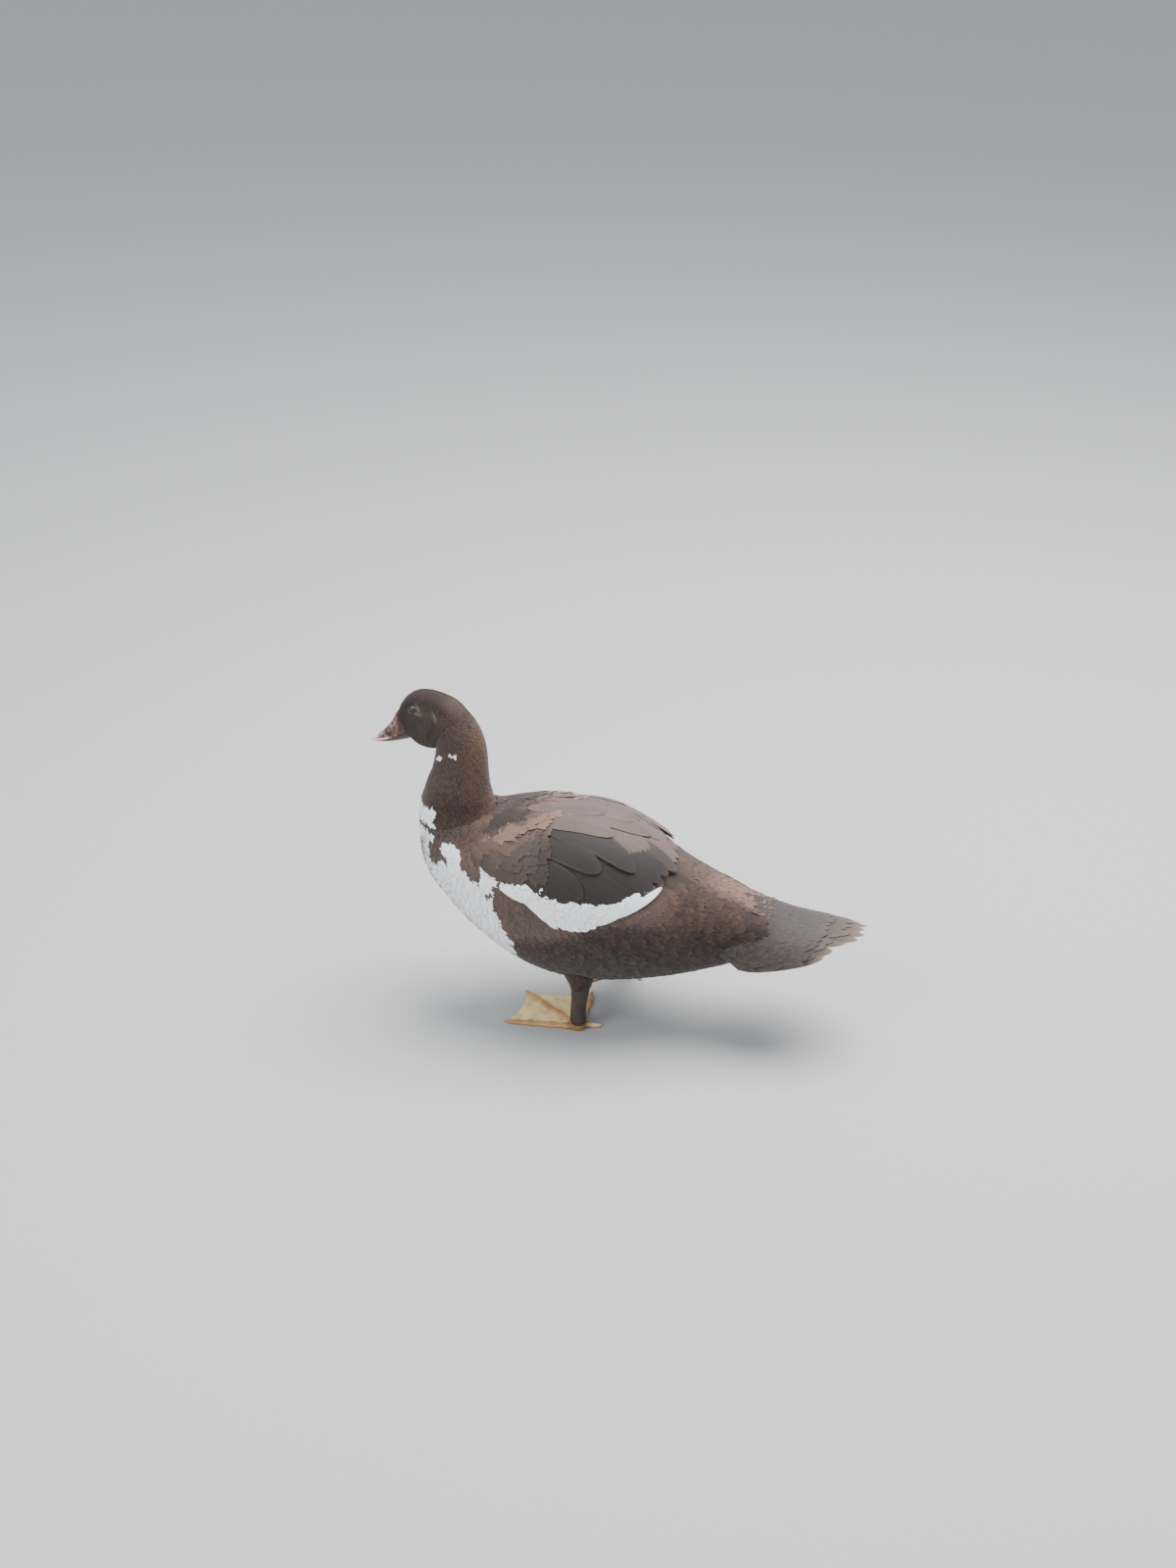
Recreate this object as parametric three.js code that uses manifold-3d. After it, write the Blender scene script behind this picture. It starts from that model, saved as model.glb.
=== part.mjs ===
// A young muscovy duck as a still, life-size museum model, standing with its head turned aside.
// Millimetres, +Z up, the bird faces -X and its left side is -Y. The soles stand on z = 0.

import * as THREE from 'three';
import { mergeVertices } from 'three/addons/utils/BufferGeometryUtils.js';
import Module from 'manifold-3d';

const wasm = await Module();
wasm.setup();

// Driving dimensions

const GAP = 0.3;              // clear space between touching nodes
const LEFT = 1;
const RIGHT = -1;
const DEGREE = Math.PI / 180;
const BIRD_LEFT = new THREE.Vector3(0, -1, 0);
const HEAD_LEFT = new THREE.Vector3(0, 1, 0);     // in the head's own frame

// Stations along the torso: x, y, z of the centre, half height, half width.
const TORSO_ROWS = [
  [-177, 0, 206, 2, 2], [-172, 0, 205, 24, 24], [-160, 0, 202, 44, 45], [-140, 0, 195, 58, 61],
  [-118, 0, 184, 70, 72], [-95, 0, 174, 78, 80], [-70, 0, 166, 87, 88], [-40, 0, 160, 96, 94],
  [-8, 0, 157, 102, 96], [25, 0, 155.5, 103, 96], [58, 0, 152, 97, 91], [90, 0, 146, 86, 82],
  [120, 0, 137, 71, 69], [150, 0, 133, 58, 59], [180, 0, 132, 46, 51], [208, 0, 131, 31, 42],
  [230, 0, 130, 15, 26], [240, 0, 129, 2, 4],
];

// Stations up the neck: x, y, z of the centre, half depth, half width.
const NECK_ROWS = [
  [-112, 0, 190, 30, 34], [-126, 0, 212, 50, 47], [-134, 0, 240, 46, 43], [-134, 0, 265, 38.5, 38],
  [-131, 0, 290, 32, 32], [-130, 2, 315, 28.5, 28], [-135, 5, 336, 25, 25], [-142, 9, 352, 19, 19],
  [-147, 12, 361, 8, 8],
];

// Head: where its centre is, how far it is turned to the bird's right, and how far it looks down.
const HEAD_CENTRE = new THREE.Vector3(-166, 14, 355);
const HEAD_TURN = 20 * DEGREE;
const HEAD_NOD = 17 * DEGREE;

// Stations along the head in its own frame, back to front: x forward, y left, z up, half height, half width.
const HEAD_ROWS = [
  [-44, 0, -14, 2, 2], [-41, 0, -14, 11, 11], [-31, 0, -13, 22, 18.5], [-16, 0, -12.3, 29.8, 23],
  [0, 0, -11, 34, 24.5], [14, 0, -10, 34, 23], [26, 0, -9.8, 30, 19], [35, 0, -8.5, 23, 15],
  [41, 0, -7.5, 15.5, 12], [43.5, 0, -7, 2, 2],
];

// Bill, in the head's frame: its own frame starts at the gape, with x along the mouth line.
const BILL_PLACE = { forward: 41, up: -22, nod: 8 * DEGREE };
const BILL_UPPER_ROWS = [
  [-12, 0, 0, 22, 9], [-3, 0, 0, 28, 11.5], [5, 0, 0, 26, 12], [12, 0, 0, 21.4, 11.6], [20, 0, 0, 17, 10.8],
  [29, 0, 0, 12.5, 10.4], [38, 0, 0, 8.4, 10.8], [46, 0, 0, 5.4, 10], [52, 0, 0, 3.2, 7], [56, 0, 0, 1.6, 3],
  [57.5, 0, 0, 0.7, 1],
];
const BILL_LOWER_ROWS = [
  [-12, 0, 0, 8, 8.6], [0, 0, 0, 8.6, 10.4], [12, 0, 0, 6.6, 10.2], [26, 0, 0, 4.6, 9.5], [40, 0, 0, 3, 9.3],
  [48, 0, 0, 2, 7], [52.5, 0, 0, 1, 2],
];
const NOSTRIL = { forward: 14.2, side: 8.6, up: 13 };

// Curves and lofts

function smoothCurve(points) {
  return new THREE.CatmullRomCurve3(points, false, 'catmullrom', 0.5);
}

// A line of stations: the centre, the two half sizes and the axes of the section at t from 0 to 1.
// Upright sections stand square to x, and the others square to the line.
function stationLine(rows, left, upright) {
  const centres = smoothCurve(rows.map(([x, y, z]) => new THREE.Vector3(x, y, z)));
  const sizes = smoothCurve(rows.map(([, , , high, wide]) => new THREE.Vector3(high, wide, 0)));
  return (t) => {
    const centre = centres.getPoint(t);
    const size = sizes.getPoint(t);
    const along = centres.getTangent(t);
    if (upright) along.set(1, 0, 0);
    const up = new THREE.Vector3().crossVectors(along, left).normalize();
    if (upright && up.z < 0) up.negate();
    const side = new THREE.Vector3().crossVectors(up, along).normalize();
    if (side.dot(left) < 0) side.negate();
    return { centre, high: size.x, wide: size.y, along, up, side };
  };
}

// The point of a station's outline at an angle from its up axis towards its left side.
function sectionPoint(station, angle, grow) {
  return station.centre.clone()
    .addScaledVector(station.up, Math.cos(angle) * (station.high + grow))
    .addScaledVector(station.side, Math.sin(angle) * (station.wide + grow));
}

// A closed loft: a sphere whose poles become the two ends of the line.
function loft(line, around, along, grow = 0) {
  const shape = new THREE.SphereGeometry(1, around, along);
  const { position, uv } = shape.attributes;
  for (let i = 0; i < position.count; i += 1) {
    const t = 1 - uv.getY(i);
    const atEnd = t < 1e-6 || t > 1 - 1e-6;
    const station = line(t);
    station.centre.addScaledVector(station.along, grow * (2 * t - 1));
    const point = atEnd ? station.centre : sectionPoint(station, uv.getX(i) * 2 * Math.PI, grow);
    position.setXYZ(i, point.x, point.y, point.z);
  }
  return shape;
}

// A thick sheet: a box whose width, depth and height become u, v and the way through the sheet.
function sheet(surface, uSteps, vSteps) {
  const shape = new THREE.BoxGeometry(1, 1, 1, uSteps, vSteps, 1);
  const { position } = shape.attributes;
  for (let i = 0; i < position.count; i += 1) {
    const point = surface(position.getX(i) + 0.5, position.getY(i) + 0.5, position.getZ(i) + 0.5);
    position.setXYZ(i, point.x, point.y, point.z);
  }
  return shape;
}

// A feather's vane: rows of left, middle and right points from root to tip, with both faces split alike.
function vane(rows, thickness) {
  const points = rows.flatMap(({ left, middle, right, outward }) => [0.5, -0.5].flatMap((half) => (
    [left, middle, right].map((point) => point.clone().addScaledVector(outward, half * thickness)))));
  const corners = [];
  const quad = (a, b, c, d) => corners.push(a, b, c, a, c, d);
  for (let row = 0; row < rows.length - 1; row += 1) {
    const here = row * 6;
    const next = here + 6;
    for (const column of [0, 1]) {
      quad(here + column, next + column, next + column + 1, here + column + 1);
      corners.push(here + column + 3, next + column + 4, next + column + 3);
      corners.push(here + column + 3, here + column + 4, next + column + 4);
    }
    quad(here, here + 3, next + 3, next);
    quad(here + 2, next + 2, next + 5, here + 5);
  }
  const last = (rows.length - 1) * 6;
  for (const column of [0, 1]) {
    quad(column, column + 1, column + 4, column + 3);
    quad(last + column, last + column + 3, last + column + 4, last + column + 1);
  }
  const geometry = new THREE.BufferGeometry().setFromPoints(points);
  geometry.setIndex(corners);
  return geometry;
}

// Seeded numbers from 0 to 1, so that each run gives the same feathers.
function seededNumbers(seed) {
  let state = seed;
  return () => {
    state = (state * 1664525 + 1013904223) % 4294967296;
    return state / 4294967296;
  };
}

// Solids

function signedVolume(position, index) {
  const [a, b, c] = [new THREE.Vector3(), new THREE.Vector3(), new THREE.Vector3()];
  let volume = 0;
  for (let i = 0; i < index.length; i += 3) {
    a.fromBufferAttribute(position, index[i]);
    b.fromBufferAttribute(position, index[i + 1]);
    c.fromBufferAttribute(position, index[i + 2]);
    volume += a.dot(b.cross(c)) / 6;
  }
  return volume;
}

function toSolid(geometry) {
  const bare = geometry.clone();
  bare.deleteAttribute('normal');
  bare.deleteAttribute('uv');
  const merged = mergeVertices(bare, 1e-4);
  const corners = Array.from(merged.index.array);
  const whole = [];
  for (let i = 0; i < corners.length; i += 3) {
    const [a, b, c] = corners.slice(i, i + 3);
    if (a !== b && b !== c && a !== c) whole.push(a, b, c);
  }
  if (signedVolume(merged.attributes.position, whole) < 0) whole.reverse();
  return new wasm.Manifold(new wasm.Mesh({
    numProp: 3,
    vertProperties: new Float32Array(merged.attributes.position.array),
    triVerts: new Uint32Array(whole),
  }));
}

function largestPiece(solid) {
  const pieces = solid.decompose();
  return pieces.reduce((best, piece) => (piece.volume() > best.volume() ? piece : best));
}

function toGeometry(solid) {
  const mesh = solid.getMesh();
  const geometry = new THREE.BufferGeometry();
  geometry.setAttribute('position', new THREE.BufferAttribute(new Float32Array(mesh.vertProperties), 3));
  geometry.setIndex(Array.from(mesh.triVerts));
  geometry.computeVertexNormals();
  return geometry;
}

// Materials

function matte(color, roughness) {
  return new THREE.MeshStandardMaterial({ color, roughness, metalness: 0 });
}

const brownFeather = matte('#55443e', 0.85);
const darkFeather = matte('#44362f', 0.85);
const wingFeather = matte('#5f504b', 0.8);
const tailFeather = matte('#78645f', 0.8);
const billHorn = matte('#b98f83', 0.45);
const eyeGlass = matte('#1a120e', 0.08);
const legSkin = matte('#4a3f3a', 0.6);
const footSkin = matte('#e1b469', 0.55);
const clawHorn = matte('#6b5a4c', 0.5);

// Torso, neck and head

const torsoLine = stationLine(TORSO_ROWS, BIRD_LEFT, true);
const neckLine = stationLine(NECK_ROWS, BIRD_LEFT, false);
const headLine = stationLine(HEAD_ROWS, HEAD_LEFT, true);

const headFrame = new THREE.Matrix4()
  .makeTranslation(HEAD_CENTRE.x, HEAD_CENTRE.y, HEAD_CENTRE.z)
  .multiply(new THREE.Matrix4().makeRotationZ(Math.PI - HEAD_TURN))
  .multiply(new THREE.Matrix4().makeRotationY(HEAD_NOD));

function inHead(geometry) {
  return geometry.applyMatrix4(headFrame);
}

function torsoSolid(grow) {
  return toSolid(loft(torsoLine, 28, 22, grow));
}

function neckSolid(grow) {
  return toSolid(loft(neckLine, 20, 11, grow));
}

function headLoft(grow) {
  return toSolid(inHead(loft(headLine, 24, 14, grow)));
}

const torso = torsoSolid(0);
const torsoGrown = torsoSolid(GAP);
const neck = largestPiece(neckSolid(0).subtract(torsoGrown));
const neckGrown = neckSolid(GAP);

// Eyes: a ball sunk in the head, between two lids.
const EYE_FORWARD = 13;
const EYE_SIDE = 17.2;
const EYE_UP = 6.5;
const EYE_RADIUS = 6;
const LID_TUBE = 0.9;

function eyePlace(side) {
  const place = new THREE.Vector3(EYE_FORWARD, EYE_SIDE * side, EYE_UP);
  const outward = new THREE.Vector3(0.22, side, 0.12).normalize();
  return { place, outward };
}

function ball(place, radius, around, down) {
  const { x, y, z } = place;
  return toSolid(inHead(new THREE.SphereGeometry(radius, around, down).translate(x, y, z)));
}

function lids(side) {
  const { place, outward } = eyePlace(side);
  const ring = new THREE.TorusGeometry(EYE_RADIUS - 0.5, LID_TUBE, 5, 14);
  ring.scale(1.08, 0.92, 1);
  const turn = new THREE.Quaternion().setFromUnitVectors(new THREE.Vector3(0, 0, 1), outward);
  const at = place.clone().addScaledVector(outward, 2.6);
  ring.applyQuaternion(turn).translate(at.x, at.y, at.z);
  return toSolid(inHead(ring));
}

let head = headLoft(0).add(lids(LEFT)).add(lids(RIGHT)).subtract(neckGrown).subtract(torsoGrown);
for (const side of [LEFT, RIGHT]) {
  head = head.subtract(ball(eyePlace(side).place, EYE_RADIUS + GAP, 14, 9));
}

const billFrame = headFrame.clone()
  .multiply(new THREE.Matrix4().makeTranslation(BILL_PLACE.forward, 0, BILL_PLACE.up))
  .multiply(new THREE.Matrix4().makeRotationY(BILL_PLACE.nod));

function inBill(geometry) {
  return geometry.applyMatrix4(billFrame);
}

// The mouth line runs on into the cheek behind the bill.
function mouthCut(side) {
  const cut = new THREE.BoxGeometry(12, 3, 0.8).rotateZ(side * -0.6).translate(-7, side * 11.5, -0.6);
  return toSolid(inBill(cut));
}
head = largestPiece(head.subtract(mouthCut(LEFT)).subtract(mouthCut(RIGHT)));
const headGrown = headLoft(GAP);

// Bill: each half is half of a loft that a block cuts off at the mouth line.

function nostril(side) {
  const hole = new THREE.SphereGeometry(1, 8, 5).scale(3.4, 2, 1.6);
  hole.rotateY(0.5).translate(NOSTRIL.forward, side * NOSTRIL.side, NOSTRIL.up);
  return toSolid(inBill(hole));
}

// A block over the mouth line (+1) or under it (-1), half the gap away from it.
function mouthBlock(way) {
  const height = 60;
  const block = new THREE.BoxGeometry(160, 80, height).translate(0, 0, way * (height / 2 - GAP / 2));
  return toSolid(inBill(block));
}

function billHalf(rows, around, along, way) {
  const half = toSolid(inBill(loft(stationLine(rows, HEAD_LEFT, true), around, along)));
  return half.subtract(mouthBlock(-way)).subtract(headGrown);
}

const billUpper = largestPiece(billHalf(BILL_UPPER_ROWS, 18, 14, 1)
  .subtract(nostril(LEFT)).subtract(nostril(RIGHT)));
const billLower = largestPiece(billHalf(BILL_LOWER_ROWS, 14, 9, -1));

// Wings: each folded wing is a sheet that lies round the torso between two angles from its top.

// x along the torso, the upper and the lower edge of the wing's core in degrees from the top.
const WING_ROWS = [[-104, 46, 56], [-92, 32, 64], [-60, 20, 68], [-15, 14, 70], [30, 12, 66], [70, 11, 48],
  [98, 10, 24]];

function torsoAt(x) {
  let [low, high] = [0, 1];
  for (let i = 0; i < 30; i += 1) {
    const middle = (low + high) / 2;
    if (torsoLine(middle).centre.x < x) low = middle;
    else high = middle;
  }
  return torsoLine((low + high) / 2);
}

// A point over the torso: x, the angle from the top in degrees, the height over the skin and the side.
function overTorso(x, degrees, height, side) {
  return sectionPoint(torsoAt(x), side * degrees * DEGREE, height);
}

const wingCurve = smoothCurve(WING_ROWS.map(([x, upper, lower]) => new THREE.Vector3(x, upper, lower)));

// The core swells in the middle of its height, most at the shoulder.
const WING_CORE = { lift: 1.3, thickness: 1.1, swell: 2.2, rearShare: 0.2 };

function wingPlate(side) {
  return toSolid(sheet((u, v, w) => {
    const edge = wingCurve.getPoint(u);
    const degrees = THREE.MathUtils.lerp(edge.y, edge.z, v);
    const swell = WING_CORE.swell * Math.sin(Math.PI * v) * THREE.MathUtils.lerp(1, WING_CORE.rearShare, u);
    return overTorso(edge.x, degrees, WING_CORE.lift + w * (WING_CORE.thickness + swell), side);
  }, 7, 5));
}

// Tiers of wing feathers, from the flight feathers up to the shoulder. Roots and tips run along curves
// of [x, degrees from the top]; heights over the skin are for root and tip.
const WING_TIERS = [
  { count: 6, half: 8.5, heights: [1.6, 2.9], steps: 3, roll: 0.2,
    roots: [[66, 56], [20, 66], [-30, 64], [-72, 60]], tips: [[108, 45], [60, 78], [10, 84], [-36, 74]] },
  { count: 5, half: 12.5, heights: [1.9, 5.1], steps: 3, roll: 0.9,
    roots: [[28, 17], [14, 28], [-2, 40], [-24, 54]], tips: [[117, 13], [102, 38], [84, 58], [52, 71]] },
  { count: 3, half: 14.5, heights: [2.4, 6.6], steps: 4, roll: 0.9,
    roots: [[-36, 30], [-42, 44], [-54, 57]], tips: [[76, 40], [42, 52], [26, 67]] },
  { count: 2, half: 10.5, heights: [2.6, 6.4], steps: 3, roll: 0.6,
    roots: [[4, 18], [-40, 26]], tips: [[100, 20], [50, 27]] },
  { count: 5, half: 11.5, heights: [1.6, 5.4], steps: 3, roll: 0.2,
    roots: [[34, 9], [-10, 11], [-52, 16], [-92, 33]], tips: [[112, 9], [66, 10], [20, 15], [-38, 29]] },
];
const VANE_THICKNESS = 0.6;
const VANE_FLOOR = 1.3;       // the least height of a wing vane's middle over the skin
const VANE_SHAPES = {
  2: [[0, 0.7], [0.72, 1], [1, 0.34]],
  3: [[0, 0.65], [0.4, 1], [0.86, 0.86], [1, 0.3]],
  4: [[0, 0.55], [0.35, 0.95], [0.72, 1], [0.93, 0.7], [1, 0.2]],
};

function curveAt(points, s) {
  return smoothCurve(points.map(([x, degrees]) => new THREE.Vector3(x, degrees, 0))).getPoint(s);
}

// One vane over a surface: at(s, raise) gives its middle line, roll raises its left edge and sinks the
// right one, and sag bends both down.
function vaneOver(at, half, steps, roll, sag) {
  const rows = VANE_SHAPES[steps].map(([s, wide]) => {
    const middle = at(s, 0);
    const outward = at(s, 1).sub(middle).normalize();
    const ahead = at(Math.min(s + 0.05, 1), 0).sub(at(Math.max(s - 0.05, 0), 0)).normalize();
    const across = new THREE.Vector3().crossVectors(outward, ahead).normalize();
    const reach = half * wide;
    const drop = sag * reach * reach;
    const edge = (way) => middle.clone().addScaledVector(across, way * reach)
      .addScaledVector(outward, way * roll * wide - drop);
    return { left: edge(1), middle, right: edge(-1), outward };
  });
  return toSolid(vane(rows, VANE_THICKNESS));
}

function wingVanes(side) {
  const random = seededNumbers(side === LEFT ? 11 : 23);
  return WING_TIERS.flatMap(({ count, half, heights, steps, roll, roots, tips }) => (
    Array.from({ length: count }, (_, i) => {
      const s = i / (count - 1);
      const root = curveAt(roots, s);
      const tip = curveAt(tips, s);
      tip.x += (random() - 0.5) * 4;
      tip.y += (random() - 0.5) * 2;
      const at = (along, raise) => {
        const x = THREE.MathUtils.lerp(root.x, tip.x, along);
        const degrees = THREE.MathUtils.lerp(root.y, tip.y, along ** 1.15);
        const height = Math.max(VANE_FLOOR, THREE.MathUtils.lerp(heights[0], heights[1], along));
        return overTorso(x, degrees, height + raise, side);
      };
      return vaneOver(at, half * (0.96 + 0.08 * random()), steps, side * roll, 0.0045);
    })));
}

function wingSolid(side) {
  let solid = wingPlate(side);
  for (const feather of wingVanes(side)) solid = solid.add(feather);
  const otherSide = new THREE.BoxGeometry(600, 300, 400).translate(0, side * (150 - GAP / 2), 200);
  return largestPiece(solid.subtract(torsoGrown).subtract(neckGrown).subtract(toSolid(otherSide)));
}

const wings = { left: wingSolid(LEFT), right: wingSolid(RIGHT) };

// Tail: one arched sheet that the tail feathers follow.

// x, the height of the middle, the half width and how far the sides hang below the middle.
const TAIL_ROWS = [[150, 186, 40, 52], [172, 178, 52, 62], [200, 169, 62, 60], [230, 158, 64, 46],
  [262, 149, 60, 31], [300, 144, 52, 20], [336, 141, 44, 14]];

const tailCurve = smoothCurve(TAIL_ROWS.map(([x, top]) => new THREE.Vector3(x, top, 0)));
const tailSizes = smoothCurve(TAIL_ROWS.map(([, , wide, hang]) => new THREE.Vector3(wide, hang, 0)));

function tailPoint(x, across, drop) {
  let [low, high] = [0, 1];
  for (let i = 0; i < 30; i += 1) {
    const middle = (low + high) / 2;
    if (tailCurve.getPoint(middle).x < x) low = middle;
    else high = middle;
  }
  const line = tailCurve.getPoint(low);
  const size = tailSizes.getPoint(low);
  const hang = size.y * across * across;
  return new THREE.Vector3(x, -across * size.x, line.y - hang - drop);
}

// Two tiers of tail feathers. The outermost ones end sideStep sooner, and drops are the depths of root
// and tip under the sheet.
const TAIL_TIERS = [
  { count: 14, spread: 0.97, half: 8.2, steps: 4, root: 200, end: 336, sideStep: 56, drops: [2.6, 1.1] },
  { count: 8, spread: 0.86, half: 10.5, steps: 3, root: 180, end: 260, sideStep: 24, drops: [1.1, -2.2] },
];
const TAIL_SIDE_WIDER = 0.6;  // how much wider the outermost vanes are, where the sheet bends down
const TAIL_RAGGED = 5;        // how much sooner a worn tip may end

const TAIL_CORE = { start: 170, end: 216, thickness: 4 };

function tailPlate() {
  return toSolid(sheet((u, v, w) => {
    const x = THREE.MathUtils.lerp(TAIL_CORE.start, TAIL_CORE.end, u);
    return tailPoint(x, 2 * v - 1, (1 - w) * TAIL_CORE.thickness);
  }, 3, 10));
}

function tailVanes() {
  const random = seededNumbers(5);
  return TAIL_TIERS.flatMap(({ count, spread, half, steps, root, end, sideStep, drops }) => (
    Array.from({ length: count }, (_, i) => {
      const across = spread * ((2 * i) / (count - 1) - 1);
      const tip = end - sideStep * across * across - TAIL_RAGGED * random();
      const at = (along, raise) => tailPoint(THREE.MathUtils.lerp(root, tip, along), across,
        THREE.MathUtils.lerp(drops[0], drops[1], along) - raise);
      return vaneOver(at, half * (1 + TAIL_SIDE_WIDER * across * across), steps, Math.sign(across), 0.002);
    })));
}

function tailSolid() {
  let solid = tailPlate();
  for (const feather of tailVanes()) solid = solid.add(feather);
  return largestPiece(solid.subtract(torsoGrown).subtract(wingPlate(LEFT)).subtract(wingPlate(RIGHT)));
}

const tail = tailSolid();

// Legs and feet

// Each foot: where its heel stands, how far it is turned, and how far its side toes point off the middle
// one. The right foot stands further out, with its toes closer together.
const FOOT = {
  left: { heel: new THREE.Vector3(14, -50, 0), turn: -40 * DEGREE, side: LEFT, inner: 50, outer: -43 },
  right: { heel: new THREE.Vector3(48, 90, 0), turn: 8 * DEGREE, side: RIGHT, inner: 30, outer: -30 },
};
const TOES = [
  { name: 'inner', length: 75, thick: 4.6 },
  { name: 'middle', length: 97, thick: 5 },
  { name: 'outer', length: 83, thick: 4.8 },
];
const TOE_SWELL = [[0, 1.2], [0.14, 1.35], [0.34, 1.05], [0.4, 1.2], [0.62, 1], [0.68, 1.1], [0.86, 0.9],
  [0.97, 0.7], [1, 0.25]];    // share of the toe's length, share of its thickness
const WEB = { reach: 0.985, scallop: 0.97, thickness: 1.8, up: 1 };
const HALLUX_ROWS = [[4, 0, 7, 5, 5], [-5, -6, 7, 3.6, 3.4], [-10, -13, 5, 3, 2.8], [-14, -20, 4, 2, 1.8],
  [-15, -22, 3.6, 0.6, 0.6]];
const HEEL_ROWS = [[1, 0, 0, 7, 7.5], [0, 0, 6, 8, 8.2], [0, 0, 12, 7.6, 7.8], [0, 0, 18, 7, 7]];
const CLAW_LENGTH = 4.5;
const CLAW_ROWS = [[0, 3.2, 2, 1.9], [0.5, 3.6, 1.7, 1.5], [0.8, 2.8, 1.2, 1], [1, 1.6, 0.3, 0.3]];

// Tarsus and thigh: the lean from heel to hip, z, half depth, half width and x beyond the heel.
const HIP_SIDE = 46;
const TARSUS_ROWS = [[0, 14, 9.6, 9.2, 0], [0.1, 26, 9, 8.6, 0], [0.2, 38, 9.2, 8.8, 1],
  [0.32, 50, 10.4, 10, 2], [0.45, 64, 9.6, 9.6, 3]];
const THIGH_ROWS = [[0.36, 54, 11, 10.6, 2], [0.5, 65, 15, 14, 2], [0.72, 80, 22, 20, 1],
  [1, 100, 29, 26, -3], [1, 118, 22, 20, -8]];

function placeFoot(geometry, foot) {
  geometry.rotateZ(Math.PI + foot.turn);
  return geometry.translate(foot.heel.x, foot.heel.y, 0);
}

function toeHeading(toe, foot) {
  return (foot[toe.name] ?? 0) * DEGREE * -foot.side;
}

// A toe in the foot's frame, where forward is +X.
function toeLine(toe, foot) {
  const heading = toeHeading(toe, foot);
  const rows = TOE_SWELL.map(([s, swell]) => {
    const reach = s * toe.length;
    const thick = toe.thick * swell;
    return [reach * Math.cos(heading), reach * Math.sin(heading), thick * 0.62, thick * 0.75, thick];
  });
  return stationLine(rows, BIRD_LEFT, false);
}

function webShape(foot) {
  const tips = TOES.map((toe) => {
    const heading = toeHeading(toe, foot);
    return new THREE.Vector2(Math.cos(heading), Math.sin(heading)).multiplyScalar(toe.length * WEB.reach);
  });
  const outline = new THREE.Shape();
  outline.moveTo(-3, 0);
  outline.lineTo(tips[0].x, tips[0].y);
  for (const [a, b] of [[tips[0], tips[1]], [tips[1], tips[2]]]) {
    const middle = a.clone().add(b).multiplyScalar(0.5 * WEB.scallop);
    outline.quadraticCurveTo(middle.x, middle.y, b.x, b.y);
  }
  outline.lineTo(-3, 0);
  return outline;
}

function footSolid(foot) {
  const flat = { depth: WEB.thickness, bevelEnabled: false, curveSegments: 6 };
  const web = new THREE.ExtrudeGeometry(webShape(foot), flat).translate(0, 0, WEB.up);
  let solid = toSolid(placeFoot(web, foot));
  for (const toe of TOES) {
    solid = solid.add(toSolid(placeFoot(loft(toeLine(toe, foot), 8, 8), foot)));
  }
  const halluxRows = HALLUX_ROWS.map(([x, y, ...rest]) => [x, foot.side * y, ...rest]);
  for (const [rows, around, along] of [[halluxRows, 8, 6], [HEEL_ROWS, 10, 4]]) {
    solid = solid.add(toSolid(placeFoot(loft(stationLine(rows, BIRD_LEFT, false), around, along), foot)));
  }
  const floor = toSolid(new THREE.BoxGeometry(400, 400, 40).translate(0, 0, -20));
  return solid.subtract(floor);
}

function legSolid(legRows, foot, around, along, grow) {
  const rows = legRows.map(([lean, z, deep, wide, back]) => (
    [foot.heel.x + back, THREE.MathUtils.lerp(foot.heel.y, foot.side * -HIP_SIDE, lean), z, deep, wide]));
  return toSolid(loft(stationLine(rows, BIRD_LEFT, false), around, along, grow));
}

const thighs = {};
const tarsi = {};
const feet = {};
for (const [name, foot] of Object.entries(FOOT)) {
  const thighGrown = legSolid(THIGH_ROWS, foot, 14, 7, GAP);
  thighs[name] = largestPiece(legSolid(THIGH_ROWS, foot, 14, 7, 0).subtract(torsoGrown));
  const tarsus = legSolid(TARSUS_ROWS, foot, 12, 6, 0);
  tarsi[name] = largestPiece(tarsus.subtract(thighGrown).subtract(torsoGrown));
  feet[name] = largestPiece(footSolid(foot).subtract(legSolid(TARSUS_ROWS, foot, 12, 6, GAP)));
}

// Claws sit on the ends of the toes.
function clawSolid(foot, toe) {
  const heading = toeHeading(toe, foot);
  const sunk = 3;
  const rows = CLAW_ROWS.map(([s, z, high, wide]) => {
    const reach = toe.length - sunk + s * (CLAW_LENGTH + sunk);
    return [reach * Math.cos(heading), reach * Math.sin(heading), z, high, wide];
  });
  return toSolid(placeFoot(loft(stationLine(rows, BIRD_LEFT, false), 6, 5), foot));
}

// The bird

const bird = new THREE.Group();

function addNode(name, solid, material) {
  const mesh = new THREE.Mesh(toGeometry(solid), material);
  mesh.name = name;
  bird.add(mesh);
}

addNode('torso', torso, brownFeather);
addNode('neck', neck, brownFeather);
addNode('head', head, brownFeather);
addNode('bill_upper', billUpper, billHorn);
addNode('bill_lower', billLower, billHorn);
addNode('tail', tail, tailFeather);
for (const [name, side] of [['left', LEFT], ['right', RIGHT]]) {
  const foot = FOOT[name];
  addNode(`eye_${name}`, ball(eyePlace(side).place, EYE_RADIUS, 14, 9), eyeGlass);
  addNode(`wing_${name}`, wings[name], wingFeather);
  addNode(`thigh_${name}`, thighs[name], darkFeather);
  addNode(`tarsus_${name}`, tarsi[name], legSkin);
  addNode(`foot_${name}`, feet[name], footSkin);
  for (const toe of TOES) {
    const claw = clawSolid(foot, toe).subtract(feet[name]);
    addNode(`claw_${name}_${toe.name}`, largestPiece(claw), clawHorn);
  }
}

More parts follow.
